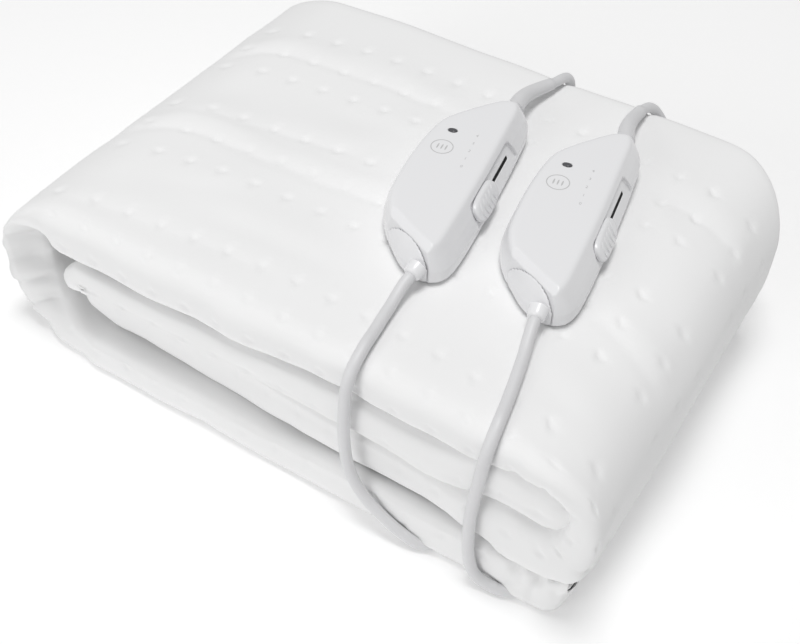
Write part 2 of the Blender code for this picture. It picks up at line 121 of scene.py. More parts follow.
# How much higher the valleys between the runs lie at the front than further back.
VALLEY_X = (20.0, 55.0, 90.0, 140.0, 210.0, 250.0, 290.0, 322.0, 350.0, 378.0)
VALLEYS = (
    # z, shift at each X
    (25.5, (0.0, 0.5, 0.5, 0.5, 0.0, 0.0, 1.0, 5.5, 5.5, 8.0)),
    (52.0, (4.0, 8.0, 9.5, 10.0, 10.0, 8.0, 6.0, 3.0, 0.0, 0.0)),
    (82.2, (-1.0, -2.0, -2.0, 1.0, 6.0, 7.5, 8.0, 8.0, 5.0, 2.0)),
)
FRONT_ZONE = (26.0, 78.0)           # where the shift starts to fade, and where it ends
BEAD = 4.0                          # how much the bottom fold's front edge puffs up
POCKET = 24.0                       # how far the left turn's inner layers draw back

# Where the strip's cross lines stand round each dot: in plain hidden cloth, on the top
# and its turns, in the creased half of the left turn, and round the two pleats.
HIDDEN_LINES = (-2.4, -0.8, 0.8, 2.4, 10.0)
SEEN_LINES = (-3.9, -2.4, -0.8, 0.8, 2.4, 3.9, 7.0, 11.0, 15.0)
CREASED_LINES = (-3.3, -2.0, -0.7, 0.7, 2.0, 3.3, 5.4, 7.5, 9.6, 11.7, 13.8, 15.9)
PLEATED_LINES = tuple(-9.6 + 1.68 * i for i in range(13))
LINES_APART = 0.9                   # no two cross lines are closer than this

# Rows of points over the parts of each face: how many from end to end, and which of
# them are kept, because neighbouring parts share their ends.
OUTER_PARTS = ((BACK_FOLD, 7, 1, None), (THIRD, 6, 1, -1), (INNER_FOLD, 6, 0, None),
               (SECOND, 7, 1, None))
INNER_PARTS = ((LOWEST, 6, 0, -1), (FRONT_FOLD, 8, 0, None), (HIGHEST, 8, 1, -1),
               (BACK_FOLD, 6, 0, None), (THIRD, 6, 1, -1), (INNER_FOLD, 6, 0, None),
               (SECOND, 6, 1, None))
DOT_LINES = (-3.4, -2.2, -0.75, 0.75, 2.2, 3.4)     # rows of points across each row of dots
TOP_FROM = (96.0, 108.0)            # heights between which the cloth becomes the top
FLOOR_GAP = 0.05                    # the cloth rests this far above the floor

# How far the left turn hangs out at each height, at the front and at the back.
LEFT_BULGE = (
    # z,  front, back
    (0.0, -16.0, -6.0), (6.0, -19.0, -7.0), (14.0, -18.0, -8.0), (28.0, -18.5, -9.0),
    (41.0, -19.0, -9.5), (60.0, -17.0, -9.5), (77.0, -12.5, -9.0), (90.0, -7.0, -8.5),
    (105.0, -3.5, -8.0), (116.0, -1.0, -3.0),
)
PLEATS = ((342.5, 2.8), (355.5, 2.4))   # X and half width
HOLLOW = (339.5, 83.0)              # X and Z of the middle of the right turn's inside
HOLLOW_RADII = (14.0, 25.0, 18.5)   # upwards, to the right and downwards

# ----------------------------------------------------------------- the handsets

HANDSET_FLOOR = 115.5
BED_HALF, BED_FRONT, BED_BACK = 23.0, -60.0, 74.0   # the underside that presses the cloth
BED_EDGE = 16.0                     # how far round it the cloth is still held down
LEAD_CLEAR, LEAD_SOFT = 3.3, 6.0    # room round a lead, and how far it dents the cloth
HANDSETS = {
    # name:   x,     y,  turned (degrees)
    "left": (218.0, 134.4, 10.5),
    "right": (285.2, 142.4, 10.2),
}

# Corners of the handset seen from above, in its own frame, whose +Y points to the
# neck: once at its widest and once round the flat top.
HANDSET_CORNERS = (
    # name,          wide x, wide y, top x, top y
    ("cheek",         -27.0, -17.0, -23.0, -17.0),
    ("nose left",     -25.5, -28.0, -21.5, -29.0),
    ("nose slope",    -19.5, -40.0, -16.0, -39.5),
    ("nose",          -11.0, -51.0,  -8.5, -48.5),
    ("lead left",      -2.0, -61.0,  -0.5, -56.0),
    ("lead right",      8.0, -65.8,   6.5, -60.0),
    ("nose right",     17.0, -65.0,  13.5, -60.5),
    ("front right",    23.5, -59.4,  17.5, -55.0),
    ("side front",     26.0, -45.0,  18.5, -42.0),
    ("side middle",    27.0,   2.0,  19.5,   0.0),
    ("side back",      26.5,  46.0,  19.0,  46.0),
    ("neck right",     25.0,  79.0,  19.0,  75.0),
    ("neck left",       9.0,  80.0,   9.0,  75.0),
    ("neck hollow",     0.0,  72.0,   1.0,  68.0),
    ("shoulder",      -18.0,  52.0, -16.0,  48.0),
    ("left back",     -24.5,  40.0, -20.5,  38.0),
    ("left middle",   -27.0,  10.0, -23.5,  10.0),
)

# Where the housing's flat top reaches further over the nose than the cap does.
HOUSING_TOP = {
    "nose left": (-21.8, -28.5), "nose slope": (-17.2, -40.0), "nose": (-9.5, -50.2),
    "lead left": (-1.0, -59.4), "lead right": (7.6, -63.8), "nose right": (14.8, -62.8),
    "front right": (18.0, -56.0),
}

# Heights of the handset's rings: how far each has gone from the widest outline to the
# top one, and how far it is drawn in for the rounded edges.
HANDSET_LEVELS = (
    # z,  share of top, inset
    (0.0,  0.0,  2.6), (0.3,  0.0,  1.7), (1.2,  0.0,  0.7), (2.6,  0.0,  0.15),
    (4.0,  0.0,  0.0), (9.0,  0.0,  0.0), (12.5, 0.2,  0.0), (16.0, 0.45, 0.0),
    (18.6, 0.68, 0.0), (20.6, 0.85, 0.05), (21.9, 0.94, 0.35), (22.8, 0.98, 0.9),
    (23.3, 1.0,  1.7), (23.5, 1.0,  2.6), (23.6, 1.0,  4.0),
)
HANDSET_TOP = 23.6

# The seam between the housing and the nose cap, seen from above.
SEAM = ((-34.0, -35.5), (-25.0, -38.5), (-13.5, -45.0), (-4.0, -52.0), (4.5, -57.8),
        (10.6, -61.6), (14.6, -64.2), (16.6, -67.5), (17.5, -76.0))
SEAM_WIDTH = 0.45
SEAM_BEVEL = (20.4, 27.0, 8.0)      # the housing's edge slopes back: from z, to z, by how much

SIDE_LOW = (27.0, 9.0)              # the sloping right side: across, height
SIDE_LEAN = -0.54                   # across for each millimetre of height

RECESS = ((-22.0, 7.0), (-20.4, 5.4), (43.0, 5.4), (45.6, 8.6), (42.2, 18.0), (40.0, 19.6),
          (-18.4, 19.6), (-20.4, 18.6), (-22.6, 13.0))
RECESS_DEPTH = 2.4
SLOT = ((-13.5, 11.2), (37.0, 11.2), (37.0, 13.0), (-13.5, 13.0))
SLOT_DEPTH = 5.6
SLOT_WALL = 0.25                    # dark liner of the slot
THUMB_MIDDLE = (-4.4, 12.5)
THUMB_HALF = (14.9, 6.0)
THUMB_LEVELS = ((0.0, 0.5), (0.4, 0.1), (1.6, 0.0), (2.5, 0.25), (3.0, 0.8), (3.2, 1.9))
THUMB_SQUARE = 0.72                 # below 1, the thumb's outline is squarer than an oval
RIB_SECTION = ((-0.95, 0.0), (-0.75, 1.5), (-0.3, 2.3), (0.3, 2.3), (0.75, 1.5), (0.95, 0.0))
RIBS, RIB_PITCH = 5, 4.2
STEM = ((-11.5, 11.6), (-1.5, 11.6), (-1.5, 12.6), (-11.5, 12.6))
LAMP_AT, LAMP_HALF = (-9.0, 33.5), (2.6, 1.7)
MARK_ROW = ((6.4, 4.8), (5.4, 33.7))    # first and last mark, at rest and at full heat
MARKS = 5
MARK_TALL = 2.9
RING_AT, RING_RADIUS = (-9.3, 17.0), 6.4
INK_LOW, INK_HIGH = 23.50, 23.66


# -------------------------------------------------------------------- the leads

SPLINE_STEPS = 20

# Routes listed point by point: out of the piece, down under gravity and along what it lies on.
FRONT_LEADS = {
    "left": ((238.2, 66.7, 124.3), (237.7, 61.0, 122.8), (237.8, 55.2, 120.7),
             (238.6, 47.6, 119.2), (239.8, 38.6, 118.9), (241.4, 28.6, 118.9),
             (243.2, 17.2, 119.5), (244.4, 5.2, 115.2), (243.8, 0.7, 104.6),
             (242.6, 0.5, 91.0), (241.8, 0.5, 77.0), (241.9, 0.4, 62.0), (243.4, 0.3, 47.0),
             (247.2, 0.2, 34.6), (254.0, 0.1, 24.4), (262.6, 0.1, 17.2), (271.2, 0.0, 12.2),
             (279.6, 0.7, 8.0), (288.0, 2.4, 4.6), (295.5, 8.0, 3.8), (299.0, 17.0, 4.0)),
    "right": ((304.9, 74.6, 124.3), (306.0, 69.0, 122.9), (307.6, 62.6, 120.9),
              (309.9, 54.4, 119.2), (314.0, 38.4, 118.9), (317.7, 22.6, 118.9),
              (319.8, 12.4, 119.2), (320.8, 4.2, 114.4), (320.2, 0.7, 103.4),
              (318.8, 0.5, 88.0), (317.3, 0.5, 72.0), (316.4, 0.4, 56.0),
              (316.4, 0.4, 42.0), (317.2, 0.2, 29.0), (319.0, 0.0, 18.0),
              (322.6, 0.0, 9.4), (329.2, 1.2, 4.8), (338.0, 2.4, 4.0), (345.5, 7.0, 3.8),
              (349.5, 16.0, 4.0)),
}
SLEEVES = {
    "left": ((215.1, 217.8, 126.8), (213.3, 226.0, 126.4), (212.5, 235.0, 125.2),
             (213.0, 244.5, 123.3), (214.8, 254.0, 121.5), (217.0, 262.5, 120.3)),
    "right": ((283.0, 226.0, 126.8), (280.0, 233.5, 126.4), (277.4, 242.0, 125.2),
              (275.7, 251.0, 123.3), (274.9, 259.6, 121.4), (275.0, 267.5, 120.3)),
}
SLEEVE_RADII = (5.4, 3.9)
COLLAR_RIMS = ((0.2, 4.0), (0.5, 4.4), (1.0, 4.6), (2.6, 4.9), (3.4, 5.0), (6.5, 5.2))

MAINS_LEADS = {
    "left": ((217.3, 263.5, 120.1), (218.3, 269.5, 119.2), (219.0, 275.5, 118.0),
             (219.6, 281.2, 115.6), (220.0, 285.6, 110.6), (220.4, 288.0, 103.0),
             (221.2, 290.2, 91.6), (222.4, 293.2, 76.0), (223.8, 297.0, 58.0),
             (225.0, 300.6, 42.0), (226.0, 304.8, 28.0), (226.6, 310.6, 15.6),
             (226.6, 319.6, 7.4)),
    "right": ((275.1, 268.5, 120.1), (275.6, 273.4, 119.0), (276.6, 278.6, 117.2),
              (278.6, 283.6, 113.2), (282.0, 287.2, 106.6), (288.0, 289.6, 96.6),
              (297.0, 292.6, 84.0), (307.0, 296.0, 70.0), (316.0, 299.4, 56.0),
              (323.2, 302.4, 42.0), (327.8, 305.6, 28.0), (329.6, 310.8, 15.6),
              (329.7, 319.6, 7.4)),
}
COILS = {"left": (178.0, 334.0), "right": (281.0, 334.0)}

# The coil's winding: turn, radius and height, with smooth steps between the rows.
WINDING = (
    (0.00, 48.8, 4.8), (0.55, 41.4, 4.8), (1.00, 41.4, 4.8), (1.55, 34.8, 4.8),
    (1.90, 34.8, 4.8), (2.10, 34.8, 11.3), (2.45, 34.8, 11.3), (3.00, 41.3, 11.3),
    (3.35, 41.3, 11.3), (3.55, 41.3, 17.8), (4.00, 41.3, 17.8), (4.50, 34.8, 17.8),
    (4.90, 34.8, 17.8), (5.10, 34.8, 24.3), (5.55, 34.8, 24.3),
)
COIL_EXITS = {
    "left": ((6.00, 41.3, 24.3), (6.25, 48.4, 20.0), (6.50, 48.7, 8.4)),
    "right": ((5.85, 41.3, 24.3), (6.03, 48.4, 21.0), (6.25, 48.9, 8.4)),
}
POINTS_A_TURN = 36

COIL_INSIDE, COIL_OUTSIDE = 31.0, 44.6
COIL_LOW, COIL_HIGH = 1.6, 28.0
TIE_WIDTH, TIE_THICK, TIE_SLACK = 8.0, 1.0, 0.9
TIE_ANGLE = {"left": 250.0, "right": 290.0}

PLUG_TAILS = {
    "left": ((129.3, 333.0, 8.4), (129.0, 324.0, 6.0), (125.8, 315.0, 4.4),
             (119.4, 308.2, 5.2), (112.0, 306.2, 6.7), (104.0, 306.0, 7.0), (96.0, 306.0, 7.0)),
    "right": ((280.0, 382.9, 8.4), (268.0, 383.3, 6.0), (252.0, 383.4, 4.2),
              (230.0, 383.6, 3.5), (205.0, 383.6, 3.5), (180.0, 383.4, 3.5),
              (158.0, 382.0, 3.7), (141.0, 378.8, 5.4), (128.0, 377.1, 6.8),
              (119.0, 377.0, 7.0), (111.0, 377.0, 7.0)),
}
PLUG_NECKS = {"left": (103.3, 306.0), "right": (118.3, 377.0)}   # the plugs point to -X
PLUG_AXIS = 7.0
PLUG_SECTIONS = (
    # along, half width, half height, corner radius
    (0.0,   3.7, 3.7, 3.6), (1.0,   4.1, 4.1, 4.0), (20.0,  5.0, 4.8, 4.6),
    (20.9,  6.2, 5.3, 4.4), (21.8,  7.4, 5.7, 4.4), (27.6, 11.0, 6.4, 4.6),
    (34.5, 14.6, 6.7, 4.8), (41.6, 16.8, 6.8, 5.0), (50.0, 17.5, 6.8, 5.2),
    (54.6, 17.5, 6.7, 5.4), (56.0, 17.0, 6.3, 5.2), (56.6, 16.2, 5.7, 4.8),
)
PLUG_PIN, PLUG_PIN_LONG, PLUG_PIN_APART = 4.0, 19.0, 18.6
GRIP_RIBS, GRIP_PITCH, GRIP_FIRST = 5, 4.0, 33.0


# ------------------------------------------------------------------ the camera

CAMERA_AT = (0.2549, -0.4211, 0.5108)
CAMERA_PITCH = 46.27                # degrees below the horizon
CAMERA_YAW = -31.60
CAMERA_ROLL = 1.48
SENSOR = 36.0

LIGHT_TARGET = (0.0, 0.0, 0.05)
KEY_AT, KEY_SIZE = (0.06, -0.06, 2.15), 0.7
FILL_AT, FILL_SIZE = (-0.35, -1.7, 0.8), 0.9
FLOOR_HALF = 4.0


class ClothSettings(bpy.types.PropertyGroup):
    """Sizes and finish of the folded sheet."""
    thickness: FloatProperty(
        name="Thickness", description="Thickness of one layer of fleece",
        default=3.4 * MM, unit="LENGTH", subtype="DISTANCE")
    dot_pitch: FloatProperty(
        name="Dot pitch", description="Distance between welded dots along a row",
        default=21.85 * MM, unit="LENGTH", subtype="DISTANCE")
    dot_radius: FloatProperty(
        name="Dot radius", description="Radius of a welded dot",
        default=3.9 * MM, unit="LENGTH", subtype="DISTANCE")
    dot_depth: FloatProperty(
        name="Dot depth", description="How deep a welded dot is pressed",
        default=0.9 * MM, unit="LENGTH", subtype="DISTANCE")
    unevenness: FloatProperty(
        name="Unevenness", description="Height of the cloth's soft lumps",
        default=1.2 * MM, unit="LENGTH", subtype="DISTANCE")
    colour: FloatVectorProperty(
        name="Colour", description="Fleece between the dots",
        default=(0.80, 0.80, 0.80), subtype="COLOR", min=0.0, max=1.0)
    weld_colour: FloatVectorProperty(
        name="Weld colour", description="Pressed and smoother fleece in a dot",
        default=(0.98, 0.98, 0.98), subtype="COLOR", min=0.0, max=1.0)
    # Painted shade: this colour darkens the fleece along the top's creases, where shade falls in
    # them.
    crease_colour: FloatVectorProperty(
        name="Crease shade colour", description="Shade painted into the fleece along a crease",
        default=(0.56, 0.56, 0.56), subtype="COLOR", min=0.0, max=1.0)


class HandsetSettings(bpy.types.PropertyGroup):
    """Finish of the handsets."""
    colour: FloatVectorProperty(
        name="Shell colour", description="Moulded shell, slider and plug",
        default=(0.775, 0.775, 0.78), subtype="COLOR", min=0.0, max=1.0)
    ink: FloatVectorProperty(
        name="Ink colour", description="Printed marks",
        default=(0.57, 0.57, 0.57), subtype="COLOR", min=0.0, max=1.0)
    grain: FloatProperty(
        name="Grain", description="Depth of the moulded grain",
        default=0.02 * MM, unit="LENGTH", subtype="DISTANCE", precision=6)
    voxel: FloatProperty(
        name="Edge softness", description="Size of the cells that round the moulded edges",
        default=0.5 * MM, unit="LENGTH", subtype="DISTANCE", precision=5)


class LeadSettings(bpy.types.PropertyGroup):
    """Sizes and finish of the leads."""
    diameter: FloatProperty(
        name="Diameter", description="Diameter of a lead",
        default=6.4 * MM, unit="LENGTH", subtype="DISTANCE")
    mains_length: FloatProperty(
        name="Mains length", description="Length of each mains lead from handset to plug",
        default=1.8, unit="LENGTH", subtype="DISTANCE")
    colour: FloatVectorProperty(
        name="Lead colour", description="Soft sheath of the leads",
        default=(0.74, 0.74, 0.75), subtype="COLOR", min=0.0, max=1.0)
    facets: IntProperty(
        name="Facets", description="Facets round a lead", default=18, min=8, max=48)


class StudioSettings(bpy.types.PropertyGroup):
    """Light, floor and camera."""
    lens: FloatProperty(
        name="Lens", description="Focal length of the camera", default=49.74, unit="CAMERA")
    sky: FloatProperty(
        name="Sky", description="Strength of the even light from all round", default=0.36)
    key: FloatProperty(
        name="Key", description="Power of the large lamp overhead",
        default=21.0, subtype="POWER", unit="POWER")
    fill: FloatProperty(
        name="Fill", description="Power of the weak lamp low in front",
        default=7.5, subtype="POWER", unit="POWER")
    floor_glow: FloatProperty(
        name="Floor glow", description="Light that the floor gives off itself", default=0.15)
    floor_colour: FloatVectorProperty(
        name="Floor colour", description="Pale studio floor",
        default=(0.95, 0.95, 0.95), subtype="COLOR", min=0.0, max=1.0)


# ---------------------------------------------------------------- small helpers

def placed(x, y, z):
    """Place in metres of a point given in the tables' millimetres."""
    return Vector((x - MIDDLE[0], y - MIDDLE[1], z)) * MM


def smooth(low, high, value):
    """Smooth step from 0 at low to 1 at high, on numbers or arrays."""
    share = np.clip((value - low) / (high - low), 0.0, 1.0)
    return share * share * (3.0 - 2.0 * share)


def linked(name, data):
    """New object in the scene for a mesh, curve, camera or lamp."""
    obj = bpy.data.objects.new(name, data)
    bpy.context.scene.collection.objects.link(obj)
    return obj


def circle(steps):
    """Cosine and sine at even steps round a circle."""
    return [(math.cos(math.tau * i / steps), math.sin(math.tau * i / steps))
            for i in range(steps)]


def mesh_object(name, verts, faces, shade_angle=None):
    """Closed mesh object with its faces outwards."""
    mesh = bpy.data.meshes.new(name)
    mesh.from_pydata([tuple(v) for v in verts], [], faces)
    work = bmesh.new()
    work.from_mesh(mesh)
    bmesh.ops.recalc_face_normals(work, faces=work.faces[:])
    work.to_mesh(mesh)
    work.free()
    mesh.shade_smooth()
    if shade_angle is not None:
        mesh.set_sharp_from_angle(angle=math.radians(shade_angle))
    return linked(name, mesh)


def skin(name, rings, shade_angle=None):
    """Solid through closed rings of equal length, with a face on each end."""
    count = len(rings[0])
    verts = [point for ring in rings for point in ring]
    faces = [tuple(range(count)), tuple(range((len(rings) - 1) * count, len(rings) * count))]
    for row in range(len(rings) - 1):
        low, high = row * count, (row + 1) * count
        for i in range(count):
            j = (i + 1) % count
            faces.append((low + i, low + j, high + j, high + i))
    return mesh_object(name, verts, faces, shade_angle)


def apply_modifiers(obj):
    """Turn what the modifiers give into the object's own mesh."""
    graph = bpy.context.evaluated_depsgraph_get()
    mesh = bpy.data.meshes.new_from_object(obj.evaluated_get(graph))
    obj.modifiers.clear()
    obj.data = mesh
    return obj


def remove(*objs):
    """Take helper objects out of the file."""
    for obj in objs:
        bpy.data.objects.remove(obj, do_unlink=True)


def joined(name, parts):
    """One object from the meshes of several, which are removed."""
    verts, faces = [], []
    for part in parts:
        start = len(verts)
        verts += [v.co.copy() for v in part.data.vertices]
        faces += [tuple(start + i for i in face.vertices) for face in part.data.polygons]
    remove(*parts)
    mesh = bpy.data.meshes.new(name)
    mesh.from_pydata(verts, [], faces)
    mesh.shade_smooth()
    mesh.set_sharp_from_angle(angle=math.radians(40.0))
    return linked(name, mesh)


def finish(obj, material, body="root", replaces=()):
    """Give a finished piece its material, slot, body and the CAD nodes that it stands for."""
    obj.data.materials.clear()
    obj.data.materials.append(material)
    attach(obj, body)
    if replaces:
        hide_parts(*replaces)
    return obj


def soft_noise(u, v, size, seed):
    """Smooth random heights from -1 to 1 over a plane, with lumps of about one size."""
    lattice = np.random.default_rng(seed).uniform(-1.0, 1.0, (64, 64))
    a, b = np.asarray(u) / size + 11.3, np.asarray(v) / size + 7.1
    i, j = np.floor(a).astype(int), np.floor(b).astype(int)
    s, t = smooth(0.0, 1.0, a - i), smooth(0.0, 1.0, b - j)
    low = lattice[i % 64, j % 64] * (1 - s) + lattice[(i + 1) % 64, j % 64] * s
    high = lattice[i % 64, (j + 1) % 64] * (1 - s) + lattice[(i + 1) % 64, (j + 1) % 64] * s
    return low * (1 - t) + high * t


# ------------------------------------------------------------- geometry node trees

def new_tree(name, inputs):
    """Geometry node tree with a geometry in and out and named inputs."""
    tree = bpy.data.node_groups.new(name, "GeometryNodeTree")
    tree.interface.new_socket("Geometry", in_out="INPUT", socket_type="NodeSocketGeometry")
    for label, kind, value in inputs:
        socket = tree.interface.new_socket(label, in_out="INPUT", socket_type=kind)
        if value is not None:
            socket.default_value = value
    tree.interface.new_socket("Geometry", in_out="OUTPUT", socket_type="NodeSocketGeometry")
    return tree, tree.nodes.new("NodeGroupInput"), tree.nodes.new("NodeGroupOutput")


def end_tree(tree, start, end, copies):
    """Close a tree of copies: real meshes with the material that it was given."""
    solid = tree.nodes.new("GeometryNodeRealizeInstances")
    paint = tree.nodes.new("GeometryNodeSetMaterial")
    link = tree.links.new
    link(copies.outputs["Instances"], solid.inputs["Geometry"])
    link(solid.outputs["Geometry"], paint.inputs["Geometry"])
    link(start.outputs["Material"], paint.inputs["Material"])
    link(paint.outputs["Geometry"], end.inputs["Geometry"])
    return tree


def row_tree():
    """Tree that repeats the object's own mesh in a straight row."""
    tree, start, end = new_tree("Row of copies", (
        ("Count", "NodeSocketInt", 5),
        ("Step", "NodeSocketVector", None),
        ("Material", "NodeSocketMaterial", None)))
    line = tree.nodes.new("GeometryNodeMeshLine")
    copies = tree.nodes.new("GeometryNodeInstanceOnPoints")
    link = tree.links.new
    link(start.outputs["Count"], line.inputs["Count"])
    link(start.outputs["Step"], line.inputs["Offset"])
    link(line.outputs["Mesh"], copies.inputs["Points"])
    link(start.outputs["Geometry"], copies.inputs["Instance"])
    return end_tree(tree, start, end, copies)


def stitch_tree():
    """Tree that lays short slanted thread stitches along a line of edges."""
    tree, start, end = new_tree("Stitches along an edge", (
        ("Spacing", "NodeSocketFloat", 4.0 * MM),
        ("Stitch length", "NodeSocketFloat", 6.0 * MM),
        ("Thread radius", "NodeSocketFloat", 0.45 * MM),
        ("Slant", "NodeSocketFloat", 0.5),
        ("Seed", "NodeSocketInt", 7),
        ("Material", "NodeSocketMaterial", None)))
    nodes, link = tree.nodes.new, tree.links.new
    curve = nodes("GeometryNodeMeshToCurve")
    spaced = nodes("GeometryNodeResampleCurve")
    spaced.mode = "LENGTH"
    thread = nodes("GeometryNodeMeshCylinder")
    thread.inputs["Vertices"].default_value = 6
    thread.fill_type = "TRIANGLE_FAN"
    tangent = nodes("GeometryNodeInputTangent")
    align = nodes("FunctionNodeAlignRotationToVector")
    align.axis = "Z"
    lean = nodes("FunctionNodeRandomValue")
    lean.data_type = "FLOAT"
    spread = nodes("ShaderNodeMath")
    spread.operation = "SUBTRACT"
    spread.inputs[1].default_value = 0.1
    widest = nodes("ShaderNodeMath")
    widest.operation = "ADD"
    widest.inputs[1].default_value = 0.1
    turn = nodes("FunctionNodeRotateRotation")
    turn.rotation_space = "LOCAL"
    angle = nodes("ShaderNodeCombineXYZ")
    euler = nodes("FunctionNodeEulerToRotation")
    copies = nodes("GeometryNodeInstanceOnPoints")
    link(start.outputs["Geometry"], curve.inputs["Mesh"])
    link(curve.outputs["Curve"], spaced.inputs["Curve"])
    link(start.outputs["Spacing"], spaced.inputs["Length"])
    link(start.outputs["Thread radius"], thread.inputs["Radius"])
    link(start.outputs["Stitch length"], thread.inputs["Depth"])
    link(tangent.outputs["Tangent"], align.inputs["Vector"])
    link(start.outputs["Slant"], spread.inputs[0])
    link(start.outputs["Slant"], widest.inputs[0])
    link(spread.outputs[0], lean.inputs["Min"])
    link(widest.outputs[0], lean.inputs["Max"])
    link(start.outputs["Seed"], lean.inputs["Seed"])
    link(lean.outputs["Value"], angle.inputs["X"])
    link(angle.outputs["Vector"], euler.inputs["Euler"])
    link(align.outputs["Rotation"], turn.inputs["Rotation"])
    link(euler.outputs["Rotation"], turn.inputs["Rotate By"])
    link(spaced.outputs["Curve"], copies.inputs["Points"])
    link(thread.outputs["Mesh"], copies.inputs["Instance"])
    link(turn.outputs["Rotation"], copies.inputs["Rotation"])
    return end_tree(tree, start, end, copies)


def run_tree(obj, tree, **values):
    """Run a tree on an object and keep the result as its plain mesh."""
    modifier = obj.modifiers.new(tree.name, "NODES")
    modifier.node_group = tree
    for socket in tree.interface.items_tree:
        wanted = socket.name.lower().replace(" ", "_")
        if socket.in_out == "INPUT" and wanted in values:
            modifier[socket.identifier] = values[wanted]
    return apply_modifiers(obj)


def made_once(store, name, make):
    """A data block by name, made the first time that it is asked for."""
    return store.get(name) or make()


# ------------------------------------------------------------------- materials

def shader_group(name, inputs, outputs):
    """Shader node group with named inputs and outputs."""
    group = bpy.data.node_groups.new(name, "ShaderNodeTree")
    for label, kind, value in inputs:
        group.interface.new_socket(label, in_out="INPUT", socket_type=kind).default_value = value
    for label, kind in outputs:
        group.interface.new_socket(label, in_out="OUTPUT", socket_type=kind)
    return group, group.nodes.new("NodeGroupInput"), group.nodes.new("NodeGroupOutput")


def noise_node(group, place, scale, detail, rough=0.5):
    """Noise on a place, whose scale is a number or another node's output."""
    node = group.nodes.new("ShaderNodeTexNoise")
    node.inputs["Detail"].default_value = detail
    node.inputs["Roughness"].default_value = rough
    group.links.new(place, node.inputs["Vector"])
    if hasattr(scale, "default_value"):
        group.links.new(scale, node.inputs["Scale"])
    else:
        node.inputs["Scale"].default_value = scale
    return node


def grain_group():
    """Fine grain and slow mottling, as a height and a mask."""
    group, start, end = shader_group("Surface grain", (
        ("Fine scale", "NodeSocketFloat", 1500.0),
        ("Coarse scale", "NodeSocketFloat", 250.0),
        ("Coarse share", "NodeSocketFloat", 0.5)),
        (("Height", "NodeSocketFloat"), ("Mask", "NodeSocketFloat")))
    place = group.nodes.new("ShaderNodeTexCoord").outputs["Object"]
    fine = noise_node(group, place, start.outputs["Fine scale"], 3.0, 0.65)
    coarse = noise_node(group, place, start.outputs["Coarse scale"], 3.0)
    mix = group.nodes.new("ShaderNodeMix")
    group.links.new(start.outputs["Coarse share"], mix.inputs[0])
    group.links.new(fine.outputs["Fac"], mix.inputs[2])
    group.links.new(coarse.outputs["Fac"], mix.inputs[3])
    group.links.new(mix.outputs[0], end.inputs["Height"])
    group.links.new(coarse.outputs["Fac"], end.inputs["Mask"])
    return group


def fibre_group():
    """Needled fleece: short fibres in two directions over soft lumps, as a height and a mask."""
    group, start, end = shader_group("Needled fibres", (
        ("Fibre scale", "NodeSocketFloat", 900.0),
        ("Lump scale", "NodeSocketFloat", 190.0),
        ("Lump share", "NodeSocketFloat", 0.4)),
        (("Height", "NodeSocketFloat"), ("Mask", "NodeSocketFloat")))
    place = group.nodes.new("ShaderNodeTexCoord").outputs["Object"]
    strands = []
    for stretch in ((1.0, 0.35, 0.6), (0.35, 1.0, 0.6)):
        along = group.nodes.new("ShaderNodeMapping")
        along.inputs["Scale"].default_value = stretch
        group.links.new(place, along.inputs["Vector"])
        strands.append(noise_node(group, along.outputs["Vector"],
                                  start.outputs["Fibre scale"], 4.0, 0.7))
    both = group.nodes.new("ShaderNodeMath")
    both.operation = "MAXIMUM"
    lumps = noise_node(group, place, start.outputs["Lump scale"], 4.0, 0.6)
    mix = group.nodes.new("ShaderNodeMix")
    link = group.links.new
    link(strands[0].outputs["Fac"], both.inputs[0])
    link(strands[1].outputs["Fac"], both.inputs[1])
    link(start.outputs["Lump share"], mix.inputs[0])
    link(both.outputs[0], mix.inputs[2])
    link(lumps.outputs["Fac"], mix.inputs[3])
    link(mix.outputs[0], end.inputs["Height"])
    link(lumps.outputs["Fac"], end.inputs["Mask"])
    return group


def new_material(name, **sockets):
    """Principled material with constants on the shader's own sockets."""
    material = bpy.data.materials.new(name)
    material.use_nodes = True
    shader = material.node_tree.nodes["Principled BSDF"]
    for label, value in sockets.items():
        shader.inputs[label.replace("_", " ")].default_value = value
    return material, shader


def add_group(material, name, make, **values):
    """A shared shader group in a material, with the material's own values."""
    tree = material.node_tree
    node = tree.nodes.new("ShaderNodeGroup")
    node.node_tree = made_once(bpy.data.node_groups, name, make)
    for label, value in values.items():
        node.inputs[label.replace("_", " ")].default_value = value
    return node


def add_bump(material, shader, height, distance, strength=1.0):
    """Turn a height into the shader's normal."""
    tree = material.node_tree
    bump = tree.nodes.new("ShaderNodeBump")
    bump.inputs["Distance"].default_value = distance
    bump.inputs["Strength"].default_value = strength
    tree.links.new(height, bump.inputs["Height"])
    tree.links.new(bump.outputs["Normal"], shader.inputs["Normal"])


def add_range(material, mask, target, low, high, mask_low=0.3, mask_high=0.7):
    """Drive a shader input by a mask, from low to high."""
    tree = material.node_tree
    node = tree.nodes.new("ShaderNodeMapRange")
    node.inputs["From Min"].default_value = mask_low
    node.inputs["From Max"].default_value = mask_high
    node.inputs["To Min"].default_value = low
    node.inputs["To Max"].default_value = high
    tree.links.new(mask, node.inputs["Value"])
    tree.links.new(node.outputs["Result"], target)


def add_tint(material, mask, colour, shade):
    """Vary a colour a little by a mask, from a shade of it to the colour itself."""
    node = mix_towards(material, mask, colour)
    node.inputs[6].default_value = (*[c * shade for c in colour], 1.0)
    return node.outputs[2]


def mix_towards(material, mask, colour, under=None):
    """Mix a colour in by a mask, over another node's colour where one is given."""
    tree = material.node_tree
    node = tree.nodes.new("ShaderNodeMix")
    node.data_type = "RGBA"
    node.inputs[7].default_value = (*colour, 1.0)
    tree.links.new(mask, node.inputs[0])
    if under is not None:
        tree.links.new(under, node.inputs[6])
    return node


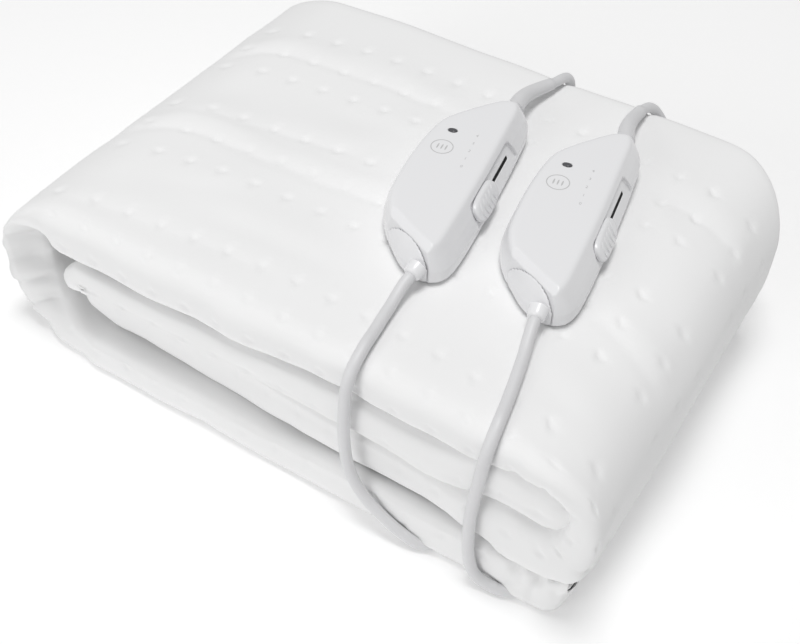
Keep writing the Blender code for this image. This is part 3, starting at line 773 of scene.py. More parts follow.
def cloth_mask(material, name):
    """A mask that the sheet's mesh carries."""
    node = material.node_tree.nodes.new("ShaderNodeAttribute")
    node.attribute_name = name
    return node.outputs["Fac"]


def fleece():
    """Matt white needled fleece, smoother and brighter where a dot is welded, with painted shade
    darkening it along the top's creases.
    """
    look = bpy.context.scene.blanket_cloth
    material, shader = new_material("fleece", Sheen_Weight=0.08, Sheen_Roughness=0.6)
    shader.inputs["Specular IOR Level"].default_value = 0.25
    fibres = add_group(material, "Needled fibres", fibre_group)
    pinched, weld = cloth_mask(material, "pinched"), cloth_mask(material, "weld")
    cloth = add_tint(material, fibres.outputs["Mask"], look.colour, 0.965)
    # Painted shade: the crease mask darkens the fleece's colour along the creases.
    creased = mix_towards(material, pinched, look.crease_colour, cloth)
    dotted = mix_towards(material, weld, look.weld_colour, creased.outputs[2])
    material.node_tree.links.new(dotted.outputs[2], shader.inputs["Base Color"])
    add_range(material, weld, shader.inputs["Roughness"], 0.95, 0.55, 0.0, 1.0)
    add_bump(material, shader, fibres.outputs["Height"], 0.35 * MM, 0.55)
    return material


def moulded(name, colour, rough, grain, shade=0.97, **sockets):
    """Plastic or rubber with a moulded grain and slightly uneven gloss."""
    material, shader = new_material(name, **sockets)
    surface = add_group(material, "Surface grain", grain_group)
    tinted = add_tint(material, surface.outputs["Mask"], colour, shade)
    material.node_tree.links.new(tinted, shader.inputs["Base Color"])
    add_range(material, surface.outputs["Mask"], shader.inputs["Roughness"], *rough)
    add_bump(material, shader, surface.outputs["Height"], grain)
    return material


def metal(name, colour, rough):
    """Drawn metal with fine marks along X."""
    material, shader = new_material(name, Metallic=1.0)
    tree = material.node_tree
    place = tree.nodes.new("ShaderNodeTexCoord").outputs["Object"]
    along = tree.nodes.new("ShaderNodeMapping")
    along.inputs["Scale"].default_value = (0.05, 1.0, 1.0)
    tree.links.new(place, along.inputs["Vector"])
    marks = noise_node(tree, along.outputs["Vector"], 3000.0, 2.0)
    tinted = add_tint(material, marks.outputs["Fac"], colour, 0.85)
    tree.links.new(tinted, shader.inputs["Base Color"])
    add_range(material, marks.outputs["Fac"], shader.inputs["Roughness"], *rough)
    add_bump(material, shader, marks.outputs["Fac"], 0.01 * MM)
    return material


def material_of(name):
    """The material of one finish, made the first time that it is asked for."""
    hand, lead = bpy.context.scene.blanket_handset, bpy.context.scene.blanket_lead
    makers = {
        "fleece": fleece,
        "shell": lambda: moulded("shell", hand.colour, (0.30, 0.40), hand.grain),
        "sheath": lambda: moulded("sheath", lead.colour, (0.40, 0.52), 0.03 * MM),
        "lamp": lambda: moulded("lamp", (0.055, 0.055, 0.06), (0.10, 0.18), 0.005 * MM,
                                Coat_Weight=0.6),
        "slot liner": lambda: moulded("slot liner", (0.012, 0.012, 0.013), (0.5, 0.6), 0.02 * MM),
        "ink": lambda: moulded("ink", hand.ink, (0.45, 0.55), 0.01 * MM),
        "tie": lambda: moulded("tie", (0.72, 0.72, 0.72), (0.30, 0.42), 0.02 * MM,
                               Transmission_Weight=0.25),
        "thread": lambda: moulded("thread", (0.84, 0.84, 0.84), (0.7, 0.85), 0.05 * MM),
        "pin": lambda: metal("pin", (0.80, 0.77, 0.70), (0.18, 0.32)),
    }
    return made_once(bpy.data.materials, name, makers[name])


# ----------------------------------------------------------------------- tubes

def smooth_route(knots, spacing):
    """Even points on a smooth curve through a list of places in metres."""
    knots = [knots[0] * 2 - knots[1]] + list(knots) + [knots[-1] * 2 - knots[-2]]
    dense = []
    for a, b, c, d in zip(knots, knots[1:], knots[2:], knots[3:]):
        for i in range(SPLINE_STEPS):
            t = i / SPLINE_STEPS
            dense.append(0.5 * (2 * b + (c - a) * t + (2 * a - 5 * b + 4 * c - d) * t ** 2
                                + (3 * b - a - 3 * c + d) * t ** 3))
    dense.append(knots[-2])
    length = route_length(dense)
    steps = max(2, round(length / spacing))
    points, walked, target = [dense[0]], 0.0, length / steps
    for a, b in zip(dense, dense[1:]):
        span = (b - a).length
        while walked + span >= target * len(points) and len(points) < steps:
            points.append(a.lerp(b, (target * len(points) - walked) / span))
        walked += span
    return points + [dense[-1]]


def tube(name, points, radii, facets=None):
    """Mesh tube that follows points, with a radius for each and rounded ends."""
    facets = facets or bpy.context.scene.blanket_lead.facets
    tangents = [(b - a).normalized() for a, b in zip(points, points[1:])]
    tangents = [tangents[0]] + [(a + b).normalized() for a, b in zip(tangents, tangents[1:])] \
        + [tangents[-1]]
    across = tangents[0].orthogonal().normalized()
    rings = []
    for i, (point, along, radius) in enumerate(zip(points, tangents, radii)):
        across = (across - along * across.dot(along)).normalized()
        up = along.cross(across)
        spokes = [across * c + up * s for c, s in circle(facets)]
        ring = [point + spoke * radius for spoke in spokes]
        rings.append(ring)
        if i in (0, len(points) - 1):
            out = along * radius * (0.12 if i else -0.12)
            cap = [point + out + spoke * radius * 0.86 for spoke in spokes]
            rings.insert(len(rings) if i else 0, cap)
    return skin(name, rings, 50.0)


def route_length(points):
    """Length of a route in metres."""
    return sum((b - a).length for a, b in zip(points, points[1:]))


def coil_points(name):
    """Points of the wound lead, turn by turn, anticlockwise from +X of the coil's middle."""
    rows = WINDING + COIL_EXITS[name]
    centre = COILS[name]
    first, last = rows[0][0] + 0.02, rows[-1][0] - 0.02
    points = []
    for i in range(round((last - first) * POINTS_A_TURN) + 1):
        turn = first + i / POINTS_A_TURN
        for low, high in zip(rows, rows[1:]):
            if low[0] <= turn <= high[0]:
                share = float(smooth(low[0], high[0], turn))
                radius = low[1] + (high[1] - low[1]) * share
                height = low[2] + (high[2] - low[2]) * share
                break
        angle = math.tau * turn
        points.append(placed(centre[0] + radius * math.cos(angle),
                             centre[1] + radius * math.sin(angle), height))
    return points


def mains_points(name):
    """The whole mains lead: from inside its sleeve, over the back, round the coil to the plug."""
    sleeve_end = [placed(*p) for p in SLEEVES[name]][-1]
    route = [placed(*p) for p in MAINS_LEADS[name]]
    inside = sleeve_end.lerp(placed(*SLEEVES[name][-2]), 0.6)
    tail = [placed(*p) for p in PLUG_TAILS[name]]
    return smooth_route([inside] + route + coil_points(name) + tail, 2.6 * MM)


# ------------------------------------------------------------- the folded sheet

def strip_line():
    """Close points along the strip: outer surface and outward normal in XZ, and its sizes."""
    rows = []

    def add(x, z, out_x, out_z, half, front, back, run):
        """Add one cross line."""
        rows.append((x, z, out_x, out_z, half, front, back, run))

    def straight(x0, x1, panel, side, run):
        """Add the cross lines of a flat run, whose outer side is up or down."""
        _, z, half, front, back = panel
        for x in np.linspace(x0, x1, 120)[:-1]:
            add(x, z, 0.0, side, half, front, back, run)

    edges = [far + reach * (1 if name.startswith("left") else -1)
             for name, far, reach, *_ in TURNS]
    straight(BOTTOM_END, edges[0], PANELS[0], -1.0, BOTTOM)
    for number, (turn, before, after) in enumerate(zip(TURNS, PANELS, PANELS[1:])):
        _, far, reach, half, front, back, *powers = turn
        _, z0, half0, front0, back0 = before
        _, z1, half1, front1, back1 = after
        side = 1.0 if z1 < z0 else -1.0          # right turns go down, left turns go up
        centre_x, centre_z, rise = far - side * reach, (z0 + z1) / 2.0, (z1 - z0) / 2.0
        steps = 72
        for i in range(steps):
            angle = math.pi * (i / steps - 0.5)
            power = powers[int(angle > 0.0)]
            across = max(math.cos(angle), 0.0) ** (2.0 / power) if i else 0.0
            up = math.copysign(abs(math.sin(angle)) ** (2.0 / power), angle)
            out_x = side * across ** (power - 1.0) / reach
            out_z = math.copysign(abs(up) ** (power - 1.0), up * rise) / abs(rise)
            long = math.hypot(out_x, out_z)
            share = math.cos(angle) ** 2
            flat = (half0, front0, back0) if angle < 0 else (half1, front1, back1)
            add(centre_x + side * reach * across, centre_z + rise * up,
                out_x / long, out_z / long,
                flat[0] + (half - flat[0]) * share, flat[1] + (front - flat[1]) * share,
                flat[2] + (back - flat[2]) * share, number * 2 + 1)
        last = edges[number + 1] if number + 1 < len(edges) else INSIDE_END
        straight(edges[number], last, after, math.copysign(1.0, z1 - z0), number * 2 + 2)
    end = PANELS[-1]
    add(INSIDE_END, end[1], 0.0, 1.0, end[2], end[3], end[4], UPPER)
    line = np.array(rows)
    line[:, 0:2] += line[:, 2:4] * line[:, 4:5]       # from the mid line to the outer surface
    return line


def rounded_end(x, start, reach):
    """How far a free end is rounded off, from 0 at its start to nearly 1 after its reach."""
    return 1.0 - np.sqrt(1.0 - np.clip((x - start) / reach, 0.0, 0.985) ** 2)


def shape_line(line):
    """Fill the strip out where it is thicker or thinner than its plain runs."""
    x, z, out_x, out_z, half, front, back, run = line.T.copy()
    bottom, top, lower, upper = run == BOTTOM, run == TOP, run == LOWER, run == UPPER
    right_turn, inner_turn = run == RIGHT_TURN, run == INNER_TURN

    # Thinner and thicker into the right turn, and in it out to the hollow.
    half += (8.9 - half) * top * smooth(312.0, 339.5, x)
    half += (19.4 - half) * lower * smooth(286.0, 337.0, x)
    away_x, away_z = x - HOLLOW[0], z - HOLLOW[1]
    far = np.hypot(away_x, away_z)
    up, side, down = (np.clip(v / far, 0.0, 1.0) ** 2 for v in (away_z, away_x, -away_z))
    hole = up * HOLLOW_RADII[0] + side * HOLLOW_RADII[1] + down * HOLLOW_RADII[2]
    half += (0.5 * (far - hole) - half) * right_turn
    out_x += (away_x / far - out_x) * right_turn
    out_z += (away_z / far - out_z) * right_turn

    # How far the front stands out: flush at the right, set back at the left.
    front += (3.2 - front) * np.maximum(right_turn * 1.0, lower * smooth(280.0, 325.0, x))
    front += 5.0 * lower * (1.0 - smooth(140.0, 215.0, x))
    front += inner_turn * (4.0 + 12.0 * smooth(55.0, 47.0, z) - front)
    z += 6.0 * inner_turn * smooth(60.0, 46.0, x) * smooth(58.0, 74.0, z)

    # The tongue: the free end inside, thicker, lifted and rounded off.
    tongue = upper * smooth(285.0, 345.0, x)
    z += 15.0 * tongue
    half += (16.0 - half) * tongue
    drawn = upper * rounded_end(x, 352.5, 15.2)
    z -= 14.5 * drawn
    half -= 12.2 * drawn
    front += 7.0 * drawn
    back -= 22.0 * smooth(300.0, 385.0, x) ** 2 * (top | right_turn)

    # The free end underneath: it fills the space below the right turn.
    half += 6.0 * bottom * smooth(356.0, 376.0, x) ** 2
    drawn = bottom * rounded_end(x, 358.5, 12.2)
    half -= 6.5 * drawn
    z += 13.0 * drawn
    front += 9.0 * drawn - bottom * (1.4 + 1.6 * smooth(150.0, 90.0, x))
    return np.stack([x, z, out_x, out_z, half, front, back, run], axis=1)


def walk(line, ruled):
    """Distance along the strip's mid line, 0 where the top has X = DOT_FIRST."""
    mid = line[:, 0:2] - line[:, 2:4] * line[:, 4:5]
    step = np.hypot(*np.diff(mid, axis=0).T)
    gone = np.concatenate([[0.0], np.cumsum(step)])
    top = ruled[:, 7] == TOP
    return gone - np.interp(DOT_FIRST, ruled[top, 0], gone[top])


def sheet_rows():
    """Section rows on the outer face: distance over the sheet, or a place past both ends."""
    edge, last = DOT_LINES[-1], len(DOT_ROWS) - 1
    rows = []
    for k, (row, _) in enumerate(DOT_ROWS):
        rows += [row + offset for offset in DOT_LINES]
        after = 252.0 if k == last else DOT_ROWS[k + 1][0] - edge
        gap = after - (row + edge)
        fill = max(1, round(gap / (2.6 if row in CREASED_GAPS else 4.6)))
        rows += [row + edge + gap * f / fill for f in range(1, fill + (k == last))]
    before = list(np.linspace(-34.0, -8.4, 7)[:-1])
    return np.array(before + rows)


def station_list(gone, pitch):
    """Where the strip's cross lines stand: close at the dots, closer on the outside."""
    first, last = gone[0], gone[-1]
    stations = []
    for k in range(math.floor(first / pitch) - 1, math.ceil(last / pitch) + 1):
        middle = k * pitch
        seen = -75.0 < middle < 400.0            # the top and its two turns
        offsets = SEEN_LINES if seen else HIDDEN_LINES
        if -125.0 < middle < -15.0:
            offsets = CREASED_LINES
        if middle < first + 66.0 or 388.0 < middle < 440.0:
            offsets = PLEATED_LINES
        stations += [middle + offset for offset in offsets]
    kept = [first, first + 1.2]
    for station in sorted(stations):
        if kept[-1] + LINES_APART < station < last - 2.5:
            kept.append(station)
    return np.array(kept + [last - 1.2, last])


def sheet_point(w, seg, half, front, back, power, offset, thick):
    """Place (y, n) on one face of the fourfold sheet, for arrays of equal shape.

    seg is the sheet's part and w the share of it, and offset is half the sheet's
    thickness, outwards positive. The order of the choices is the order of the parts.
    """
    pitch = (2.0 * half - thick) / (LAYERS - 1)
    outer, inner = half - thick / 2.0, pitch / 2.0
    fold_y = front + half
    tail = back - thick / 2.0 - pitch / 2.0
    angle = math.pi * (w - 0.5)
    radius = (outer + offset) / (np.abs(np.cos(angle)) ** power
                                 + np.abs(np.sin(angle)) ** power) ** (1.0 / power)
    bend = math.pi * (0.5 - w)
    small = inner - offset
    choices = [seg == part for part in range(7)]
    y = np.select(choices, [
        back + (fold_y - back) * w,
        fold_y - radius * np.cos(angle),
        fold_y + (tail - fold_y) * w,
        tail + (inner + offset) * np.cos(bend),
        tail + (fold_y - tail) * w,
        fold_y - small * np.cos(bend),
        fold_y + (back - 2.0 - fold_y) * w])
    n = np.select(choices, [
        -outer - offset + 0.0 * w,
        radius * np.sin(angle),
        outer + offset + 0.0 * w,
        outer - inner + (inner + offset) * np.sin(bend),
        outer - 2.0 * inner - offset + 0.0 * w,
        small * np.sin(bend),
        -inner + offset + 0.0 * w])
    return y, n


def valley_shift(x, z):
    """How far a point near the front is lifted, so that the valleys lie as they should."""
    heights = [0.0] + [row[0] for row in VALLEYS] + [118.0]
    lifts = [np.zeros_like(x)] + [np.interp(x, VALLEY_X, row[1]) for row in VALLEYS] \
        + [np.zeros_like(x)]
    lift = np.zeros_like(x)
    for k in range(len(heights) - 1):
        inside = (z >= heights[k]) & (z < heights[k + 1])
        share = np.clip((z - heights[k]) / (heights[k + 1] - heights[k]), 0.0, 1.0)
        lift = np.where(inside, lifts[k] * (1 - share) + lifts[k + 1] * share, lift)
    return lift


def crease_height(x, y):
    """Height of the top's creases, a line with a soft ridge behind it, and the mask of the shade
    painted along the line.
    """
    height, pinched = np.zeros_like(x), np.zeros_like(x)
    for depth, width, line in CREASES:
        xs, ys = np.array(line, float).T
        away = y - np.interp(x, xs, ys) + 1.1 * soft_noise(x, 0.0 * x, 23.0, int(width * 10))
        ends = smooth(xs[0] - 16.0, xs[0] + 16.0, x)
        ends *= 1.0 - smooth(xs[-1] - 18.0, xs[-1] + 14.0, x)
        ends *= 1.0 + 0.3 * soft_noise(x, y, 31.0, int(depth * 10))
        pinch = np.exp(-((away + 0.5) / (0.95 * width)) ** 2)
        ridge = smooth(-3.0, 5.0 * width, away)
        ridge *= np.exp(-(np.maximum(away, 0.0) / (6.5 * width)) ** 2)
        height += depth * ends * (0.8 * ridge - 0.2 * pinch)
        # Mask of the shade painted into the fleece's colour along the crease line.
        pinched = np.maximum(pinched, pinch * ends * min(1.0, depth / 2.4))
    return height, pinched


def press_round(points, path, radius, soft):
    """Push cloth away from a lead, and dip it softly beside the lead."""
    path = np.array([tuple(p) for p in path])
    low, high = path.min(0) - 3 * soft, path.max(0) + 3 * soft
    near = np.all((points > low) & (points < high), axis=1)
    chosen = points[near]
    best, away = np.full(len(chosen), 1e9), np.zeros_like(chosen)
    for a, b in zip(path, path[1:]):
        along = b - a
        share = np.clip(((chosen - a) @ along) / (along @ along), 0.0, 1.0)
        gap = chosen - (a + share[:, None] * along)
        dist = np.linalg.norm(gap, axis=1)
        closer = dist < best
        best = np.where(closer, dist, best)
        away = np.where(closer[:, None], gap, away)
    wanted = radius + np.maximum(best - radius, 0.0)
    wanted += 1.1 * np.exp(-((np.maximum(best - radius, 0.0)) / soft) ** 2)
    push = away / np.maximum(best, 0.2)[:, None] * (wanted - best)[:, None]
    points[near] += np.where((best < radius + 3 * soft)[:, None], push, 0.0)


def press_flat(points, name):
    """Keep the cloth below a handset's underside."""
    x, y, turned = HANDSETS[name]
    turn = math.radians(turned)
    dx, dy = points[:, 0] - x, points[:, 1] - y
    u = dx * math.cos(turn) + dy * math.sin(turn)
    v = -dx * math.sin(turn) + dy * math.cos(turn)
    beside = np.maximum(np.abs(u) - BED_HALF, np.maximum(v - BED_BACK, BED_FRONT - v))
    ceiling = HANDSET_FLOOR - 0.5 + 3.0 * smooth(0.0, BED_EDGE, beside)
    over = (points[:, 2] > ceiling) & (points[:, 2] > 105.0) & (beside < BED_EDGE)
    points[:, 2] = np.where(over, ceiling, points[:, 2])


def clear_of_others(points):
    """Keep the cloth below the handsets and clear of the leads that lie on it."""
    middle = Vector((*(m * MM for m in MIDDLE), 0.0))
    for side in SIDES:
        press_flat(points, side)
        for path in (FRONT_LEADS[side], SLEEVES[side] + MAINS_LEADS[side][:8]):
            route = [(p + middle) / MM
                     for p in smooth_route([placed(*q) for q in path], 4.0 * MM)]
            press_round(points, route, LEAD_CLEAR, LEAD_SOFT)


def front_powers(run, x, z):
    """How square the rolled front is on the strip's outer half and on its inner half."""
    right = smooth(318.0, 338.0, x) * smooth(46.0, 34.0, z)
    outer = FRONT_POWER + np.maximum(2.3 * smooth(8.0, 1.0, z), 4.5 * right)
    outer = np.maximum(outer, VALLEY_POWER * (run > (RIGHT_TURN + LOWER) / 2.0))
    outer += 2.2 * smooth(75.0, 50.0, x) * smooth(30.0, 40.0, x) * smooth(96.0, 90.0, z)
    return outer, np.maximum(outer, VALLEY_POWER)


def welded_dots(s, w_rows, pitch):
    """Depth of the welded dots over the outer face, and their mask."""
    look = bpy.context.scene.blanket_cloth
    along = s - pitch * np.round(s / pitch)
    across = w_rows[:, None] - np.array([row[0] for row in DOT_ROWS])[None, :]
    across = np.abs(across).min(axis=1)
    reach = np.hypot(along[:, None], across[None, :]) / (look.dot_radius / MM)
    uneven = 1.0 + 0.25 * soft_noise(s[:, None], w_rows[None, :], 17.0, 5)
    depth = -look.dot_depth / MM * uneven * (1.0 - smooth(0.25, 1.0, reach)) \
        + 0.22 * np.exp(-((reach - 1.2) / 0.3) ** 2)
    return depth, 1.0 - smooth(0.85, 1.45, reach)


def build_sheet(name):
    """The folded sheet as one closed mesh, with its dots, creases and lumps."""
    look = bpy.context.scene.blanket_cloth
    thick, pitch = look.thickness / MM, look.dot_pitch / MM
    plain = strip_line()
    line = shape_line(plain.copy())
    gone = walk(line, plain)
    s = station_list(gone, pitch)
    x, z, out_x, out_z, half, front, back = (np.interp(s, gone, line[:, k]) for k in range(7))
    long = np.hypot(out_x, out_z)
    out_x, out_z = out_x / long, out_z / long
    power, under = front_powers(np.interp(s, gone, line[:, 7]), x, z)

    # How much of the left turn's pocket each station has, most at half its height.
    arch = np.sin(np.clip(line[:, 1] / 112.0, 0.0, 1.0) * math.pi) ** 0.7
    turned = np.interp(s, gone, (line[:, 7] == LEFT_TURN) * arch)

    # Rows on the outer face: w over the sheet from the front edge, then shares of parts.
    tops = smooth(-75.0, -30.0, s) * (1.0 - smooth(330.0, 372.0, s))   # 1 on the top
    w_rows = sheet_rows()
    drifts = np.interp(w_rows, [r[0] for r in DOT_ROWS], [r[1] for r in DOT_ROWS])
    bow_x, bow_left, bow_right = ROW_ARCH
    bow = -np.where(x < bow_x, bow_left, bow_right) * (x - bow_x) ** 2 * tops
    quarter = 1.045 * math.pi / 2.0 * half      # a square front is longer than a round one
    count = len(s)

    def outer_part(w):
        """Part and share of a row at a distance w over the sheet."""
        moved = w + bow[:, None] * smooth(-4.0, 44.0, w)
        q = quarter[:, None]
        seg = np.where(moved > q, HIGHEST, np.where(moved < -q, LOWEST, FRONT_FOLD))
        folded = (2 * half - thick) / (2.0 * (LAYERS - 1))
        run = (back - thick / 2 - folded - front - half)[:, None]
        deep = (back - front - half)[:, None]
        share = np.select([seg == FRONT_FOLD, seg == HIGHEST, seg == LOWEST],
                          [0.5 + moved / (2 * q), (moved - q) / run, 1.0 - (-moved - q) / deep])
        return seg, share

    def rows_of(part, rows, first, end):
        """Part and share of rows laid evenly over one part, kept from first to end."""
        shares = np.linspace(0, 1, rows)[first:end]
        shape = (count, len(shares))
        return np.full(shape, part), np.broadcast_to(shares, shape)

    seg, share = outer_part(np.broadcast_to(w_rows, (count, len(w_rows))))
    lowest, highest = share[:, :1], share[:, -1:]
    below = lowest * np.linspace(0.0, 1.0, 13)[:-1] ** 0.8
    above = highest + (1.0 - highest) * np.linspace(0.0, 1.0, 7)[1:]
    outer = [(np.full_like(below, LOWEST, int), below), (seg, share),
             (np.full_like(above, HIGHEST, int), above)]
    outer += [rows_of(*part) for part in OUTER_PARTS]
    inner = [rows_of(*part) for part in INNER_PARTS]

    def place(parts, offset):
        """Points of one face, offset from the sheet's middle."""
        seg = np.hstack([part[0] for part in parts])
        share = np.hstack([part[1] for part in parts])
        y, n = sheet_point(share, seg, half[:, None], front[:, None], back[:, None],
                           np.where(share > 0.5, power[:, None], under[:, None]), offset, thick)
        drawn_in = np.clip(0.5 - n / (2.0 * half[:, None]), 0.0, 1.0) * turned[:, None]
        y = y + POCKET * drawn_in * (1.0 - smooth(16.0, 80.0, y))
        mid_x, mid_z = (x - out_x * half)[:, None], (z - out_z * half)[:, None]
        return np.stack([mid_x + out_x[:, None] * n, y, mid_z + out_z[:, None] * n], axis=2)

    faces = [place(outer, thick / 2.0), place(inner, -thick / 2.0)]
    n_low = below.shape[1]
    over_rows = slice(n_low, n_low + len(w_rows))
    drift, dots, weld = np.zeros((3, *faces[0].shape[:2]))
    drift[:, over_rows] = drifts * tops[:, None]
    drift[:, :n_low] = drifts[0] * tops[:, None] * np.linspace(0, 1, n_low)
    faces[0] = slide(faces[0], s, drift)
    dots[:, over_rows], weld[:, over_rows] = welded_dots(s, w_rows, pitch)

    # Work on both faces: shapes that move the sheet as a whole.
    shaped = []
    for number, face in enumerate(faces):
        normal = face_normals(face)
        face = face + normal * relief(face, normal, s)[:, :, None]
        if number == 0:
            face = face + normal * dots[:, :, None]
        px, py, pz = face[:, :, 0], face[:, :, 1], face[:, :, 2]
        fade = 1.0 - smooth(*FRONT_ZONE, py)
        face[:, :, 2] = pz + valley_shift(px, pz) * fade
        shaped.append(face.reshape(-1, 3))
    both = np.vstack(shaped)
    pleat(both)
    bulge_left(both)
    clear_of_others(both)
    both[:, 2] = np.maximum(both[:, 2], FLOOR_GAP)
    px, py, pz = faces[0][:, :, 0], faces[0][:, :, 1], faces[0][:, :, 2]
    # Where shade is painted along the creases, on the top only.
    pinched = crease_height(px, py)[1] * smooth(*TOP_FROM, pz)
    return sheet_mesh(name, both, (count, faces[0].shape[1], faces[1].shape[1]),
                      weld=weld.ravel(), pinched=pinched.ravel())


def slide(face, s, drift):
    """Move the rows of a face along the strip by a distance for each of their points."""
    moved = face.copy()
    for j in range(face.shape[1]):
        if np.any(drift[:, j]):
            for k in range(3):
                moved[:, j, k] = np.interp(s + drift[:, j], s, face[:, j, k])
    return moved


def face_normals(face):
    """Normals of a grid of points, out of the cloth's outer face."""
    along, across = np.gradient(face, axis=0), np.gradient(face, axis=1)
    normal = np.cross(along, across)
    length = np.linalg.norm(normal, axis=2, keepdims=True)
    return normal / np.maximum(length, 1e-9)


def relief(face, normal, s):
    """Height of the cloth's creases, gathers and lumps over its smooth fold."""
    look = bpy.context.scene.blanket_cloth
    x, y, z = face[:, :, 0], face[:, :, 1], face[:, :, 2]
    up = np.clip(normal[:, :, 2], 0.0, 1.0)
    top = smooth(*TOP_FROM, z) * smooth(0.2, 0.8, up)
    height = crease_height(x, y)[0] * top

    # Soft lumps in two sizes, flatter towards the floor.
    lumps = look.unevenness / MM * (soft_noise(x + 0.6 * z, y - 0.8 * z, 62.0, 3)
                                    + 0.45 * soft_noise(x - z, y + z, 27.0, 4))
    height += lumps * (0.35 + 0.65 * smooth(40.0, 90.0, z))

    # Small gathers along the front edges.
    front = (1.0 - smooth(24.0, 44.0, y)) * (1.0 - top)
    gathers = 0.35 * soft_noise(x + 0.25 * z, 0.35 * z, 12.0, 8) + soft_noise(x, z, 30.0, 9)
    height += 0.9 * gathers * front

    # Folds across the rim of the left turn: broad waves with narrow dips between.
    rim = smooth(-0.25, -0.6, normal[:, :, 1]) * smooth(44.0, 30.0, x)
    wave = soft_noise(s[:, None] + 0.22 * y, 0.10 * y, 11.0, 12)
    folds = 1.4 * wave - 2.6 * np.exp(-(wave / 0.24) ** 2)
    height += folds * rim * smooth(88.0, 66.0, z) * smooth(2.0, 10.0, z)
    return height


def bulge_left(points):
    """Let the left turn hang out over the floor at the front, as it slumps under its weight."""
    x, y, z = points.T.copy()
    heights, front, back = zip(*LEFT_BULGE)
    share = smooth(50.0, 210.0, y)
    out = np.interp(z, heights, front) * (1.0 - share) + np.interp(z, heights, back) * share
    low = np.clip(1.0 - z / 30.0, 0.0, 1.0)
    points[:, 0] += out * (1.0 - smooth(8.0 + 18.0 * low, 40.0 + 34.0 * low, x))


def pleat(points):
    """Shape the front at the right end, where the free ends lie, and the inner turn's seam."""
    x, y, z = points.T.copy()
    front = 1.0 - smooth(14.0, 30.0, y)

    # The bottom fold puffs up between the two front leads.
    bead = smooth(2.0, 24.0, z) * (1.0 - smooth(24.0, 46.0, z)) * (1.0 - smooth(9.0, 22.0, y))
    points[:, 2] += BEAD * bead * smooth(180.0, 240.0, x) * (1.0 - smooth(288.0, 322.0, x))

    # Its free end draws in further back, and closes against the turn above in front.
    behind = smooth(350.0, 374.0, x) * smooth(30.0, 60.0, y) * smooth(36.0, 30.0, z)
    points[:, 0] -= 8.0 * behind
    middle_z = np.interp(x, (322.0, 350.0, 378.0), (31.0, 31.0, 33.5))
    closed = 0.85 * smooth(320.0, 336.0, x) * np.exp(-((z - middle_z) / 9.0) ** 4)
    points[:, 1] -= closed * np.maximum(y - 3.4, 0.0) * front

    # Two short pleats, a wedge at the top of each and a shallow groove below it.
    for middle, wide in PLEATS:
        lean = np.exp(-((x - middle - 0.15 * (z - 26.0)) / wide) ** 2)
        wedge = smooth(33.0, 30.0, z) * smooth(20.0, 30.0, z)
        points[:, 1] += 6.0 * lean * wedge * front
        points[:, 1] += 1.6 * lean * smooth(3.0, 12.0, z) * smooth(32.0, 26.0, z) * front

    # The seam at the left end of the inner turn.
    seam = 52.4 + 0.16 * np.maximum(62.0 - z, 0.0)
    groove = np.exp(-((x - seam) / 1.2) ** 2) * smooth(30.0, 38.0, z) * smooth(86.0, 80.0, z)
    points[:, 1] += 1.6 * groove * front * (x < 70.0)


def sheet_mesh(name, points, counts, **masks):
    """Mesh of the two faces, joined along the hems and closed at the strip's ends."""
    stations, n_outer, n_inner = counts
    start = stations * n_outer              # the inner face's points come after the outer's
    quads = []
    for i in range(stations - 1):
        for j in range(n_outer - 1):
            a = i * n_outer + j
            quads.append((a, a + n_outer, a + n_outer + 1, a + 1))
        for j in range(n_inner - 1):
            a = start + i * n_inner + j
            quads.append((a, a + 1, a + n_inner + 1, a + n_inner))
        for o, k in ((0, 0), (n_outer - 1, n_inner - 1)):
            a, b = i * n_outer + o, start + i * n_inner + k
            ring = (a, b, b + n_inner, a + n_outer)
            quads.append(ring if o == 0 else ring[::-1])
    for i, flip in ((0, False), (stations - 1, True)):
        ring = [i * n_outer + j for j in range(n_outer)]
        ring += [start + i * n_inner + j for j in range(n_inner - 1, -1, -1)]
        quads.append(tuple(ring[::-1] if flip else ring))
    metres = (points - np.array([*MIDDLE, 0.0])) * MM
    mesh = bpy.data.meshes.new(name)
    mesh.from_pydata(metres.tolist(), [], quads)
    mesh.shade_smooth()
    for label, mask in masks.items():
        attribute = mesh.attributes.new(label, "FLOAT", "POINT")
        values = np.zeros(len(points), np.float32)
        values[:len(mask)] = mask
        attribute.data.foreach_set("value", values)
    hems = {"lower": [i * n_outer for i in range(stations)],
            "inner": [i * n_outer + n_outer - 1 for i in range(stations)]}
    return linked(name, mesh), {key: metres[rows] for key, rows in hems.items()}


def hem_stitches(name, hem):
    """Slanted overlock stitches along one hem of the sheet."""
    mesh = bpy.data.meshes.new(name)
    mesh.from_pydata(hem.tolist(), [(i, i + 1) for i in range(len(hem) - 1)], [])
    tree = made_once(bpy.data.node_groups, "Stitches along an edge", stitch_tree)
    return run_tree(linked(name, mesh), tree, spacing=3.2 * MM, stitch_length=4.4 * MM,
                    thread_radius=0.42 * MM, slant=1.1, seed=7,
                    material=material_of("thread"))


# ----------------------------------------------------------------- the handsets

def soften(outline, rounds=3):
    """Cut the corners of a closed outline, so that it reads as a curve."""
    for _ in range(rounds):
        cut = []
        for i, here in enumerate(outline):
            after = outline[(i + 1) % len(outline)]
            cut += [here.lerp(after, 0.25), here.lerp(after, 0.75)]
        outline = cut
    return outline


def inset(outline, amount):
    """Move a closed anticlockwise outline inwards by an amount."""
    moved = []
    for i, here in enumerate(outline):
        along = (outline[(i + 1) % len(outline)] - outline[i - 1]).normalized()
        moved.append(here + Vector((-along.y, along.x)) * amount)
    return moved


def side_at(height):
    """How far across the sloping right side is at a height."""
    return SIDE_LOW[0] + SIDE_LEAN * (height - SIDE_LOW[1])


def side_prism(name, outline, inner, outer):
    """Prism along the sloping side, between two depths measured from it."""
    rings = [[Vector((side_at(z) + depth, y, z)) * MM for y, z in outline]
             for depth in (inner, outer)]
    return skin(name, rings, 30.0)


